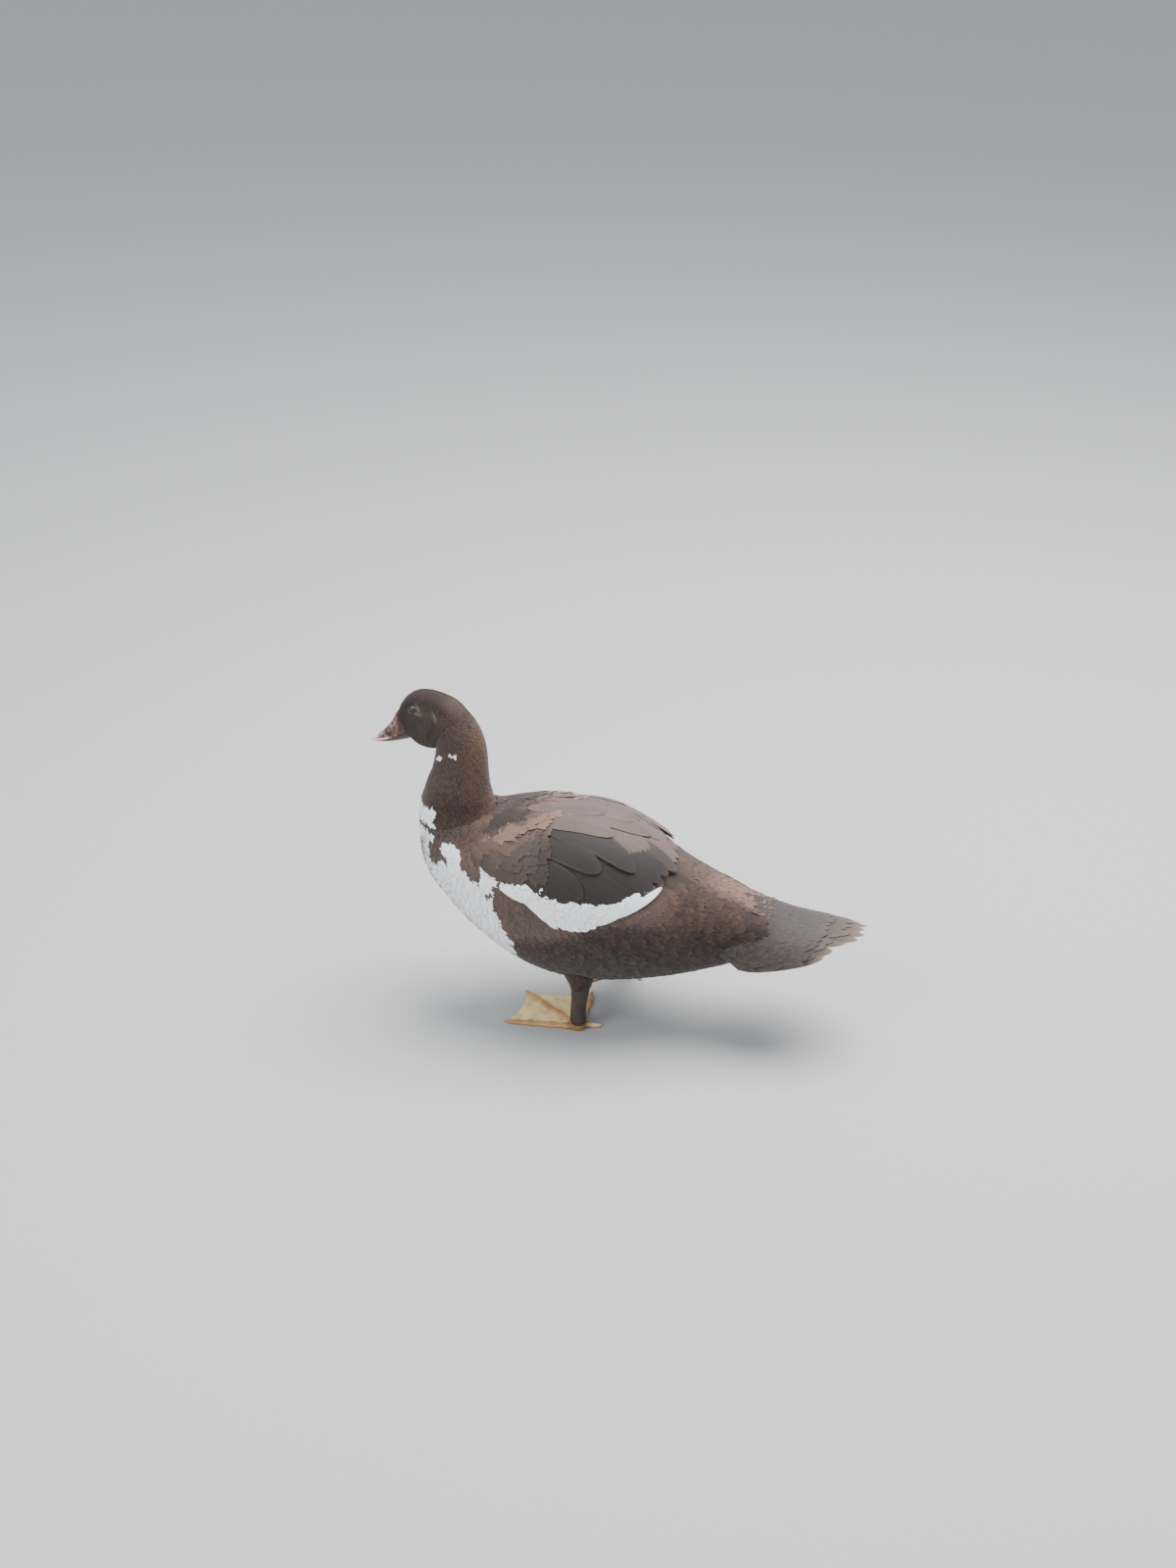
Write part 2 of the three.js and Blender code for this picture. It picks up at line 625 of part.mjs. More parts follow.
// The middle of the bounding box stands over the origin.
const middle = new THREE.Box3().setFromObject(bird).getCenter(new THREE.Vector3());
bird.position.set(-middle.x, -middle.y, 0);

export default bird;
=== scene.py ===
import bpy
import numpy as np
from mathutils import Matrix, Vector
from mathutils.bvhtree import BVHTree


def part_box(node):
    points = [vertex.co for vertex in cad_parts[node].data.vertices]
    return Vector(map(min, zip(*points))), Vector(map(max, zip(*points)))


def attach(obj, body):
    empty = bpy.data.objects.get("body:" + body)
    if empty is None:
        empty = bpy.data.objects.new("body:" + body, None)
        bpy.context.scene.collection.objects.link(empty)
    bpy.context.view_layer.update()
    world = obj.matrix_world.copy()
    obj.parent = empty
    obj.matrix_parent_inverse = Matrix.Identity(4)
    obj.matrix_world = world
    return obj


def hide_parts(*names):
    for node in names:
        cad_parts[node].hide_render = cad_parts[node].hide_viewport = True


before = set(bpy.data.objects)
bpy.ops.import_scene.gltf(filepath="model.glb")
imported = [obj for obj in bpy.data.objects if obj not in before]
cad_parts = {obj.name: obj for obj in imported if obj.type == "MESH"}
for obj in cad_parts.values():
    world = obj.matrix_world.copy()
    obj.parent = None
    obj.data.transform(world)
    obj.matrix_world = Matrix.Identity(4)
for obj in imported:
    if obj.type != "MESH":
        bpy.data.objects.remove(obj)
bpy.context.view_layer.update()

bpy.ops.object.select_all(action="DESELECT")

# The bird's own measure
# Lengths are millimetres from the part's drawing: the bird faces -X, its left side is -Y and its soles
# stand on z = 0. The torso's box says where the finished part carried that drawing.
TORSO_MIDDLE = 31.5
torso_low, torso_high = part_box("torso")
SHIFT = np.array([(torso_low.x + torso_high.x) / 2 - TORSO_MIDDLE / 1000,
                  (torso_low.y + torso_high.y) / 2, 0])


def metres(points):
    return np.asarray(points, float) / 1000 + SHIFT


# Camera
# It stands a little behind the bird's left side and looks down on it from about 26 degrees, as a
# grown person does who stands two and a half metres away.
EYE_POINT = (501.88, -2291.85, 1430.26)
CAMERA_AZIMUTH = 12
CAMERA_DOWN = 26
LENS = 54

camera_data = bpy.data.cameras.new("camera")
camera_data.lens = LENS
camera_data.sensor_width = 36
camera = bpy.data.objects.new("camera", camera_data)
camera.location = metres(EYE_POINT)
camera.rotation_euler = (np.radians(90 - CAMERA_DOWN), 0, np.radians(CAMERA_AZIMUTH))
bpy.context.scene.collection.objects.link(camera)
bpy.context.scene.camera = camera

# Floor
# A plain, matt, pale studio floor in one piece, wide enough that no edge shows from the camera. The
# soles stand on it.
FLOOR_SIZE = 60
FLOOR_COLOR = (0.46, 0.455, 0.445)


def new_material(name, color, roughness):
    material = bpy.data.materials.new(name)
    material.use_nodes = True
    shader = material.node_tree.nodes["Principled BSDF"]
    shader.inputs["Base Color"].default_value = (*color, 1)
    shader.inputs["Roughness"].default_value = roughness
    return material


bpy.ops.mesh.primitive_plane_add(size=FLOOR_SIZE, location=(0, 0, 0))
floor = bpy.context.object
floor.name = "floor"
floor.data.materials.append(new_material("pale_floor", FLOOR_COLOR, 0.85))

# Light
# Soft light from a wide panel overhead and a weaker one from the camera's side, as under a bright
# cloudy sky.


def soft_panel(name, size, power, place, target):
    light_data = bpy.data.lights.new(name, "AREA")
    light_data.shape = "DISK"
    light_data.size = size
    light_data.energy = power
    light = bpy.data.objects.new(name, light_data)
    light.location = place
    light.rotation_euler = (Vector(target) - Vector(place)).to_track_quat("-Z", "Y").to_euler()
    bpy.context.scene.collection.objects.link(light)


soft_panel("sky_panel", 2.6, 185, (0.5, 0.6, 2.6), (0, 0, 0.15))
soft_panel("front_panel", 1.8, 40, (-1.4, -2.2, 1.9), (0, 0, 0.2))
world = bpy.data.worlds.new("studio")
world.use_nodes = True
world.node_tree.nodes["Background"].inputs["Color"].default_value = (0.80, 0.86, 0.95, 1)
world.node_tree.nodes["Background"].inputs["Strength"].default_value = 0.95
bpy.context.scene.world = world

# Body forms
# The bird under its feathers: torso, neck, head and thighs, each a rounded form through the part's
# own stations. A form is measured in mm along it and radians round it.
LEFT = 1
RIGHT = -1
TORSO_ROWS = [
    [-177, 0, 206, 2, 2], [-172, 0, 205, 24, 24], [-160, 0, 202, 44, 45], [-140, 0, 195, 58, 61],
    [-118, 0, 184, 70, 72], [-95, 0, 174, 78, 80], [-70, 0, 166, 87, 88], [-40, 0, 160, 96, 94],
    [-8, 0, 157, 102, 96], [25, 0, 155.5, 103, 96], [58, 0, 152, 97, 91], [90, 0, 146, 86, 82],
    [120, 0, 137, 71, 69], [150, 0, 133, 58, 59], [180, 0, 132, 46, 51], [208, 0, 131, 31, 42],
    [230, 0, 130, 15, 26], [240, 0, 129, 2, 4],
]
NECK_ROWS = [
    [-112, 0, 190, 30, 34], [-126, 0, 212, 50, 47], [-134, 0, 240, 46, 43], [-134, 0, 265, 38.5, 38],
    [-131, 0, 290, 32, 32], [-130, 2, 315, 28.5, 28], [-135, 5, 336, 25, 25], [-142, 9, 352, 19, 19],
    [-147, 12, 361, 8, 8],
]
HEAD_ROWS = [
    [-44, 0, -14, 2, 2], [-41, 0, -14, 11, 11], [-31, 0, -13, 22, 18.5], [-16, 0, -12.3, 29.8, 23],
    [0, 0, -11, 34, 24.5], [14, 0, -10, 34, 23], [26, 0, -9.8, 30, 19], [35, 0, -8.5, 23, 15],
    [41, 0, -7.5, 15.5, 12], [43.5, 0, -7, 2, 2],
]
HEAD_CENTRE = (-166, 14, 355)
HEAD_TURN = 20
HEAD_NOD = 17
HIP_SIDE = 46
THIGH_ROWS = [[0.36, 54, 11, 10.6, 2], [0.5, 65, 15, 14, 2], [0.72, 80, 22, 20, 1], [1, 100, 29, 26, -3],
              [1, 118, 22, 20, -8]]
HEELS = {LEFT: (14, -50), RIGHT: (48, 90)}
SIDE_NAMES = {LEFT: "left", RIGHT: "right"}


def rotation(axis, degrees):
    return np.array(Matrix.Rotation(np.radians(degrees), 4, axis))


HEAD_FRAME = (np.array(Matrix.Translation(HEAD_CENTRE)) @ rotation("Z", 180 - HEAD_TURN)
              @ rotation("Y", HEAD_NOD))


def carried(frame_matrix, points):
    return points @ frame_matrix[:3, :3].T + frame_matrix[:3, 3]


def smooth_rows(rows, count):
    rows = np.asarray(rows, float)
    ends = np.vstack([2 * rows[0] - rows[1], rows, 2 * rows[-1] - rows[-2]])
    t = np.linspace(0, len(rows) - 1, count)
    i = np.minimum(t.astype(int), len(rows) - 2)
    f = (t - i)[:, None]
    a, b, c, d = ends[i], ends[i + 1], ends[i + 2], ends[i + 3]
    return b + f / 2 * (c - a + f * (2 * a - 5 * b + 4 * c - d + f * (3 * (b - c) + d - a)))


class Surface:
    """A surface on a grid of points, read at mm along it (s), an angle or share across it, and a lift."""

    def __init__(self, points, angles, closed):
        self.points = points
        self.closed = closed
        self.first, self.span = angles[0], angles[-1] - angles[0]
        steps = np.linalg.norm(np.diff(points, axis=0), axis=2).mean(1)
        self.s = np.concatenate([[0], np.cumsum(steps)])
        self.length = self.s[-1]
        if closed:
            around = np.concatenate([points[:, -2:-1], points, points[:, 1:2]], axis=1)
            across = (around[:, 2:] - around[:, :-2]) / 2
        else:
            across = np.gradient(points, axis=1)
        along = np.gradient(points, axis=0)
        normals = np.cross(across, along)
        normals[0], normals[-1] = normals[1], normals[-2]
        normals /= np.linalg.norm(normals, axis=2, keepdims=True) + 1e-9
        outward = points - points.mean(1, keepdims=True) if closed else np.array([[[0, 0, 1.0]]])
        if (normals * outward).sum() < 0:
            normals = -normals
        stretch = np.linalg.norm(across, axis=2, keepdims=True) / (self.span / (len(angles) - 1))
        self.table = np.concatenate([points, normals, stretch], axis=2)

    def read(self, s, angle):
        rows, columns = self.table.shape[:2]
        i = np.interp(s, self.s, np.arange(rows))
        j = (np.asarray(angle) - self.first) / self.span
        j = (j % 1 if self.closed else np.clip(j, 0, 1)) * (columns - 1)
        i0 = np.minimum(i.astype(int), rows - 2)
        j0 = np.minimum(j.astype(int), columns - 2)
        fi = (i - i0)[..., None]
        fj = (j - j0)[..., None]
        near = self.table[i0, j0] * (1 - fj) + self.table[i0, j0 + 1] * fj
        far = self.table[i0 + 1, j0] * (1 - fj) + self.table[i0 + 1, j0 + 1] * fj
        return near * (1 - fi) + far * fi

    def at(self, s, angle, lift):
        values = self.read(s, angle)
        return values[..., :3] + values[..., 3:6] * np.asarray(lift)[..., None]

    def stretch(self, s, angle):
        return np.maximum(self.read(s, angle)[..., 6], 2)


def swept(rows, left, upright, place=None, count=240, around=97):
    stations = smooth_rows(rows, count)
    centre, high, wide = stations[:, :3], stations[:, 3:4], stations[:, 4:5]
    along = np.tile([1.0, 0, 0], (count, 1)) if upright else np.gradient(centre, axis=0)
    up = np.cross(along, left)
    up /= np.linalg.norm(up, axis=1, keepdims=True)
    if upright:
        up *= np.sign(up[:, 2:3])
    side = np.cross(up, along)
    side /= np.linalg.norm(side, axis=1, keepdims=True)
    side *= np.sign((side * left).sum(1, keepdims=True))
    angles = np.linspace(0, 2 * np.pi, around)
    ring_up = np.cos(angles)[None, :, None] * (up * high)[:, None]
    ring_side = np.sin(angles)[None, :, None] * (side * wide)[:, None]
    points = centre[:, None] + ring_up + ring_side
    return Surface(points if place is None else carried(place, points), angles, True)


BIRD_LEFT = np.array([0, -1.0, 0])
torso = swept(TORSO_ROWS, BIRD_LEFT, True)
neck = swept(NECK_ROWS, BIRD_LEFT, False)
head = swept(HEAD_ROWS, np.array([0, 1.0, 0]), True, HEAD_FRAME)


def leg_form(side, rows, count):
    """A thigh or a shank, through rows of lean to the hip, height, half depth, half width and set-back."""
    heel_x, heel_y = HEELS[side]
    stations = [[heel_x + back, heel_y + (side * -HIP_SIDE - heel_y) * lean, z, deep, wide]
                for lean, z, deep, wide, back in rows]
    return swept(stations, BIRD_LEFT, False, count=count, around=49)


thighs = {side: leg_form(side, THIGH_ROWS, 80) for side in HEELS}
torso_stations = smooth_rows(TORSO_ROWS, 240)


def torso_along(x):
    return np.interp(x, torso_stations[:, 0], torso.s)


def torso_place(points):
    """x and the degrees from the top of the back for any point near the torso."""
    x = points[..., 0]
    middle, high, wide = (np.interp(x, torso_stations[:, 0], torso_stations[:, k]) for k in (2, 3, 4))
    across = np.abs(points[..., 1]) / wide
    up = (points[..., 2] - middle) / high
    return x, np.degrees(np.arctan2(across, up))


# Markings
# A young bird's brown coat, dark under the belly and rusty on the back of the neck, with a white
# breast, white patches at the shoulder and white down the front of the neck. Painted shade deepens the
# belly under the flank feathers, the sides of the rump, the mantle's edge over the wing and the crease
# behind the cheek, and painted light brightens the top of the rump. Skin and feathers both take their
# colour from here.
def srgb(*values):
    share = np.array(values) / 255
    return np.where(share < 0.04, share / 12.92, ((share + 0.055) / 1.055) ** 2.4)


WHITE = srgb(246, 248, 250)
BACK_BROWN = srgb(118, 95, 83)
DARK_MANTLE_AND_SHADOW = srgb(34, 28, 27)
RUST = srgb(132, 96, 77)
FLANK_BROWN = srgb(90, 76, 70)
DARK_BELLY_AND_SHADE = srgb(30, 25, 24)
RUMP_BROWN = srgb(57, 46, 41)
NECK_BROWN = srgb(66, 54, 49)
NAPE_RUST = srgb(82, 62, 51)
CROWN_BROWN = srgb(40, 33, 30)
CHEEK_OLIVE = srgb(64, 54, 47)
DARK_STREAK_AND_CREASE_SHADE = srgb(27, 23, 22)
PALE_FLECK = srgb(132, 118, 110)

# Outlines on the torso, as x and degrees from the top.
WHITE_BREAST = [(-200, 92), (-159, 92), (-146, 88), (-134, 76), (-143, 64), (-128, 54), (-122, 58),
                (-116, 62), (-113, 72), (-102, 79), (-92, 83), (-76, 85), (-69, 96), (-62, 105),
                (-55, 116), (-52, 181), (-200, 181)]
WHITE_SHOULDER = [(-95, 61), (-82, 59), (-70, 61), (-71, 67), (-76, 75), (-84, 86), (-104, 86), (-92, 76)]
BROWN_SHOULDER = [(-116, 61), (-98, 54), (-91, 64), (-90, 74), (-101, 79), (-114, 75)]
WHITE_BAND = [(-63, 66), (-49, 62), (-24, 65), (-5, 68), (24, 69), (49, 72), (75, 65), (98, 47), (108, 44),
              (105, 51), (83, 67), (67, 76), (40, 85), (22, 88), (8, 88), (-6, 84), (-16, 78), (-28, 74),
              (-49, 73), (-65, 73)]


def inside(outline, x, y):
    found = np.zeros(x.shape, bool)
    for (x0, y0), (x1, y1) in zip(outline, outline[1:] + outline[:1]):
        crosses = (y0 > y) != (y1 > y)
        found ^= crosses & (x < (x1 - x0) * (y - y0) / (y1 - y0 + 1e-9) + x0)
    return found


def eased(value, low, high):
    t = np.clip((value - low) / (high - low), 0, 1)
    return (t * t * (3 - 2 * t))[..., None]


def towards(color, other, amount):
    return color + (other - color) * amount


def wobble(points, size, seed):
    p = points / size + seed
    return (np.sin(p[..., 0] + 1.7 * np.sin(p[..., 1])) * np.sin(p[..., 1] * 1.3 + np.sin(p[..., 2] * 1.1))
            + np.sin(p[..., 2] * 1.9 + p[..., 0] * 0.7)) / 2


def body_color(points):
    x, degrees = torso_place(points)
    color = towards(BACK_BROWN, FLANK_BROWN, eased(degrees, 30, 75))
    # The dark belly, up to the lower edge of the flank feathers, deepened with painted shade under their
    # overhang.
    low = np.interp(x, [-120, -93, -59, 28, 60, 110, 170, 240], [134, 124, 112, 93, 84, 76, 70, 66])
    color = towards(color, DARK_BELLY_AND_SHADE, 0.9 * eased(degrees - low, -6, 7))
    color = towards(color, RUMP_BROWN, eased(x, 90, 140) * (1 - eased(degrees, 80, 120)))
    # Painted shade on the sides of the rump and painted light on its top, as under light from above.
    color = towards(color, DARK_BELLY_AND_SHADE, 0.6 * eased(x, 100, 160) * eased(degrees, 52, 84))
    color = towards(color, BACK_BROWN * 1.15, 0.8 * eased(x, 120, 190) * (1 - eased(degrees, 14, 34)))
    # The dark mantle between neck and wing, with painted shadow along its lower edge over the wing, paler
    # feather ends, and rustier ones behind it.
    edge = np.interp(x, [-110, -100, -79, -60, -45, -31], [48, 46, 37, 30, 24, 17])
    front = eased(x, -126, -108)
    mantle = front * (1 - eased(degrees - edge, -3, 3)) * (1 - eased(x + 0.2 * degrees, -40, -26))
    color = towards(color, DARK_MANTLE_AND_SHADOW, 0.9 * mantle)
    color = towards(color, BACK_BROWN, 0.3 * mantle * eased(wobble(points, 3.5, 2), 0.45, 0.95))
    rusty = np.exp(-((x + 24) / 16) ** 2)[..., None] * (1 - eased(degrees, 6, 16))
    color = towards(color, RUST, 0.6 * rusty)
    return color * (1 + 0.09 * wobble(points, 26, 5))[..., None]


def neck_color(points):
    back, z = points[..., 0] + 131, points[..., 2]
    color = towards(NECK_BROWN, NAPE_RUST, eased(back, 4, 26) * eased(z, 225, 262))
    dark = np.exp(-((z - 256) / 15) ** 2)[..., None] * (1 - eased(np.abs(back - 2), 22, 34))
    color = towards(color, DARK_MANTLE_AND_SHADOW, 0.65 * dark)
    return color * (1 + 0.06 * wobble(points, 9, 1))[..., None]


def spot(forward, up, place, reach, turn=0.0):
    """How near a point of the head's side is to a mark, from 1 in its middle to 0."""
    ahead, over = forward - place[0], up - place[1]
    cos, sin = np.cos(np.radians(turn)), np.sin(np.radians(turn))
    along, across = ahead * cos + over * sin, over * cos - ahead * sin
    return np.exp(-(along / reach[0]) ** 2 - (across / reach[1]) ** 2)[..., None]


def head_color(points):
    local = carried(np.linalg.inv(HEAD_FRAME), points)
    forward, up = local[..., 0], local[..., 2]
    color = towards(CHEEK_OLIVE, CROWN_BROWN, eased(up, 4, 13))
    color = towards(color, NECK_BROWN, 1 - eased(forward + 0.35 * up, -32, -18))
    # A dark streak from behind the eye down to the nape, and painted shade in the crease behind the cheek.
    color = towards(color, DARK_STREAK_AND_CREASE_SHADE, 0.9 * spot(forward, up, (-18, 7), (20, 5.5), 32))
    color = towards(color, DARK_STREAK_AND_CREASE_SHADE, 0.75 * spot(forward, up, (-6, -22), (15, 1.7), -52))
    # Pale flecks round the back of the eye, and a pale bar behind the cheek.
    color = towards(color, PALE_FLECK, 0.75 * spot(forward, up, (2, 8), (5, 1.3), 55))
    color = towards(color, PALE_FLECK, 0.6 * spot(forward, up, (2.5, 2.5), (5, 1.2), 15))
    color = towards(color, PALE_FLECK, 0.55 * spot(forward, up, (-18.5, -3), (6, 1.6), 75))
    stripes = 0.12 * np.sin(forward * 1.9 + wobble(points, 5, 2)) * (1 - eased(up, -4, 4)[..., 0])
    return color * (1 + stripes + 0.06 * wobble(points, 6, 3))[..., None]


def plumage(points):
    """The coat's colour at any point, and whether it is white there."""
    points = np.asarray(points, float)
    x, degrees = torso_place(points)
    z = points[..., 2]
    local = carried(np.linalg.inv(HEAD_FRAME), points)
    on_head = eased(z + 0.8 * local[..., 0], 308, 322) * eased(z, 300, 312)
    on_neck = eased(z, 208, 232) * (1 - eased(x, -95, -75))
    color = towards(body_color(points), neck_color(points), on_neck)
    color = towards(color, head_color(points), on_head)
    edge = 2.5 * wobble(points, 4, 7)
    white = inside(WHITE_BREAST, x + edge, degrees + edge) & (z < 226)
    white |= inside(WHITE_SHOULDER, x + edge, degrees + edge) | inside(WHITE_BAND, x, degrees)
    white &= ~inside(BROWN_SHOULDER, x + edge, degrees)
    # The white of the neck: two patches down its front and a thin pale arc under the throat.
    side_y = np.abs(points[..., 1] + 2)
    front = -points[..., 0] - 131
    narrow = (side_y < 38 + edge) & (front + 0.8 * side_y < 64)
    white |= (front > 20 + edge) & (z > 234) & (z < 254 + edge) & narrow
    white |= (front > 18 + edge) & (z > 198) & (z < 229 + edge) & (side_y < 44 + edge) & (x < -140)
    arc = np.abs(z - 317 + 0.55 * np.maximum(front - 8, 0)) < 1.3 + 0.5 * edge
    white |= arc & (front > -2) & (side_y > 12) & (z > 300) & ~(on_head[..., 0] > 0.5)
    return np.where(white[..., None], WHITE, color), white


# Skin
# One skin under the feathers of torso, neck, head and thighs. Their forms are sunk by the coat's
# depth, melted into one and smoothed, so that no seam is left where they meet.
COAT_DEPTH = {"torso": 2.4, "neck": 1.4, "head": 0.9, "thigh": 1.5}
WING_CORE = (2, 40, 104, 28)    # middle x and degrees, reach in x and in degrees
WING_CORE_LIFT = 4.0
SKIN_VOXEL = 0.0024
SKIN_SMOOTHING = 9


def wing_core_lift(points):
    x, degrees = torso_place(points)
    middle_x, middle_degrees, reach_x, reach_degrees = WING_CORE
    distance = np.hypot((x - middle_x) / reach_x, (degrees - middle_degrees) / reach_degrees)
    return WING_CORE_LIFT * (1 - eased(distance, 0.45, 1.05)[..., 0])


def new_object(name, points, faces, triangles=(), smooth=True):
    faces = np.asarray(faces, np.int32).reshape(-1, 4)
    triangles = np.asarray(triangles, np.int32).reshape(-1, 3)
    mesh = bpy.data.meshes.new(name)
    corners = np.concatenate([faces.ravel(), triangles.ravel()])
    starts = np.concatenate([np.arange(len(faces)) * 4, len(faces) * 4 + np.arange(len(triangles)) * 3])
    mesh.vertices.add(len(points))
    mesh.vertices.foreach_set("co", metres(points).astype(np.float32).ravel())
    mesh.loops.add(len(corners))
    mesh.loops.foreach_set("vertex_index", corners)
    mesh.polygons.add(len(starts))
    mesh.polygons.foreach_set("loop_start", starts.astype(np.int32))
    mesh.polygons.foreach_set("use_smooth", np.full(len(starts), smooth))
    mesh.update(calc_edges=True)
    piece = bpy.data.objects.new(name, mesh)
    bpy.context.scene.collection.objects.link(piece)
    return piece


def ring_faces(rings, around, flip=False):
    """Quads between rings of points, with a fan on each end ring's own middle point."""
    i, j = np.meshgrid(np.arange(rings - 1), np.arange(around), indexing="ij")
    k = (j + 1) % around
    quads = np.stack([i * around + j, i * around + k, (i + 1) * around + k, (i + 1) * around + j], -1)
    ring = np.arange(around)
    following = (ring + 1) % around
    last = (rings - 1) * around
    start, end = np.full(around, rings * around), np.full(around, rings * around + 1)
    fans = np.concatenate([np.stack([start, following, ring], -1),
                           np.stack([end, last + ring, last + following], -1)])
    quads = quads.reshape(-1, 4)
    return (quads[:, ::-1], fans[:, ::-1]) if flip else (quads, fans)


def tube_object(name, rings, flip=False):
    """A closed tube through rings of points."""
    count, around = rings.shape[:2]
    points = np.concatenate([rings.reshape(-1, 3), rings[:1].mean(1), rings[-1:].mean(1)])
    quads, fans = ring_faces(count, around, flip)
    return new_object(name, points, quads, fans)


def only(pieces):
    bpy.ops.object.select_all(action="DESELECT")
    for piece in pieces:
        piece.select_set(True)
    bpy.context.view_layer.objects.active = pieces[0]


def apply_modifier(piece, kind, **values):
    only([piece])
    modifier = piece.modifiers.new(kind.lower(), kind)
    for key, value in values.items():
        setattr(modifier, key, value)
    bpy.ops.object.modifier_apply(modifier=modifier.name)


def melted(name, pieces, voxel, smoothing):
    """Closed pieces joined into one skin without seams."""
    only(pieces)
    bpy.ops.object.join()
    piece = bpy.context.object
    piece.name = name
    piece.data.name = name
    bpy.ops.object.mode_set(mode="EDIT")
    bpy.ops.mesh.select_all(action="SELECT")
    bpy.ops.mesh.normals_make_consistent(inside=False)
    bpy.ops.object.mode_set(mode="OBJECT")
    apply_modifier(piece, "REMESH", mode="VOXEL", voxel_size=voxel, use_smooth_shade=True)
    if smoothing:
        apply_modifier(piece, "SMOOTH", factor=0.5, iterations=smoothing)
    return piece


def sunk_form(name, form, depth):
    rings, around = 120, 72
    s, angle = np.meshgrid(np.linspace(0.4, form.length - 0.4, rings), np.arange(around) * 2 * np.pi / around,
                           indexing="ij")
    lift = -depth
    if name == "torso":
        lift = lift + wing_core_lift(form.at(s, angle, np.zeros(s.shape)))
    return tube_object(f"{name}_form", form.at(s, angle, np.broadcast_to(lift, s.shape)))


skin = melted("skin", [
    sunk_form("torso", torso, COAT_DEPTH["torso"]),
    sunk_form("neck", neck, COAT_DEPTH["neck"]),
    sunk_form("head", head, COAT_DEPTH["head"]),
    sunk_form("thigh", thighs[LEFT], COAT_DEPTH["thigh"]),
    sunk_form("thigh", thighs[RIGHT], COAT_DEPTH["thigh"]),
], SKIN_VOXEL, SKIN_SMOOTHING)


def millimetres(piece):
    points = np.empty(len(piece.data.vertices) * 3)
    piece.data.vertices.foreach_get("co", points)
    return (points.reshape(-1, 3) - SHIFT) * 1000


def paint(piece, colors, share=1.0):
    layer = piece.data.color_attributes.new("plumage", "FLOAT_COLOR", "POINT")
    share = np.broadcast_to(share, len(colors))
    layer.data.foreach_set("color", np.column_stack([colors, share]).astype(np.float32).ravel())


def feed(tree, made, inputs):
    """Give a node's sockets their constants and the outputs that lead into them."""
    for key, value in inputs.items():
        if isinstance(value, bpy.types.NodeSocket):
            tree.links.new(value, made.inputs[key])
        else:
            made.inputs[key].default_value = value
    return made


def node(tree, kind, inputs=(), **values):
    made = tree.nodes.new(kind)
    for key, value in values.items():
        setattr(made, key, value)
    return feed(tree, made, dict(inputs))


def plumage_material(name, roughness, mottle, barbs):
    """Feather colour from the piece's own marks, broken by fine mottling and by the vane's barbs."""
    material = new_material(name, (0.2, 0.15, 0.13), roughness)
    tree = material.node_tree
    color = node(tree, "ShaderNodeVertexColor", layer_name="plumage")
    place = node(tree, "ShaderNodeTexCoord")
    noise = node(tree, "ShaderNodeTexNoise", {"Vector": place.outputs["Object"], "Scale": 520, "Detail": 3})
    spread = node(tree, "ShaderNodeMapRange",
                  {"Value": noise.outputs["Fac"], "To Min": 1 - mottle, "To Max": 1 + mottle})
    tint, relief = spread.outputs[0], noise.outputs["Fac"]
    if barbs:
        # Barbs slant from the shaft to the edge, as uneven fine streaks.
        vane = node(tree, "ShaderNodeUVMap", uv_map="vane")
        split = node(tree, "ShaderNodeSeparateXYZ", {0: vane.outputs["UV"]})
        off_shaft = node(tree, "ShaderNodeMath", {0: split.outputs["X"], 1: 0.5}, operation="SUBTRACT")
        reach = node(tree, "ShaderNodeMath", {0: off_shaft.outputs[0]}, operation="ABSOLUTE")
        slant = node(tree, "ShaderNodeMath", {0: reach.outputs[0], 1: -0.7, 2: split.outputs["Y"]},
                     operation="MULTIPLY_ADD")
        streaks = node(tree, "ShaderNodeTexNoise", {"W": slant.outputs[0], "Scale": barbs, "Detail": 2},
                       noise_dimensions="1D")
        lines = node(tree, "ShaderNodeMapRange", {"Value": streaks.outputs["Fac"], "From Min": 0.3,
                                                  "From Max": 0.7, "To Min": 0.91, "To Max": 1.09})
        both = node(tree, "ShaderNodeMath", {0: lines.outputs[0], 1: spread.outputs[0]},
                    operation="MULTIPLY")
        tint = relief = both.outputs[0]
    shade = node(tree, "ShaderNodeVectorMath", {0: color.outputs["Color"], "Scale": tint},
                 operation="SCALE")
    bump = node(tree, "ShaderNodeBump", {"Height": relief, "Strength": 0.35, "Distance": 0.0003})
    feed(tree, tree.nodes["Principled BSDF"], {
        "Base Color": shade.outputs[0], "Normal": bump.outputs["Normal"], "Specular IOR Level": 0.25,
        "Sheen Weight": 0.15, "Sheen Roughness": 0.5})
    return material


skin_points = millimetres(skin)
paint(skin, plumage(skin_points)[0] * 0.85)
skin.data.materials.append(plumage_material("down", 0.9, 0.25, 0))
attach(skin, "root")
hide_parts("torso", "neck", "head", "thigh_left", "thigh_right")
skin_tree = BVHTree.FromObject(skin, bpy.context.evaluated_depsgraph_get())

# Body feathers
# Small vanes in staggered rows, each rooted in the skin and lying over the next row, so that the coat
# closes like shingles. The vanes follow the form, and their tips are a little ragged.
VANE_PATCH = 0.003
UNWRAP = {"torso": (0.02, 0.50), "neck": (0.53, 0.70), "head": (0.72, 0.86), "thigh": (0.88, 0.97)}
BODY_VANE = {"along": [0, 0.45, 0.8, 1], "wide": [0.55, 1, 0.98, 0.7], "columns": 5}
SMALL_VANE = {"along": [0, 0.42, 0.8, 1], "wide": [0.6, 1, 0.9, 0.55], "columns": 3}


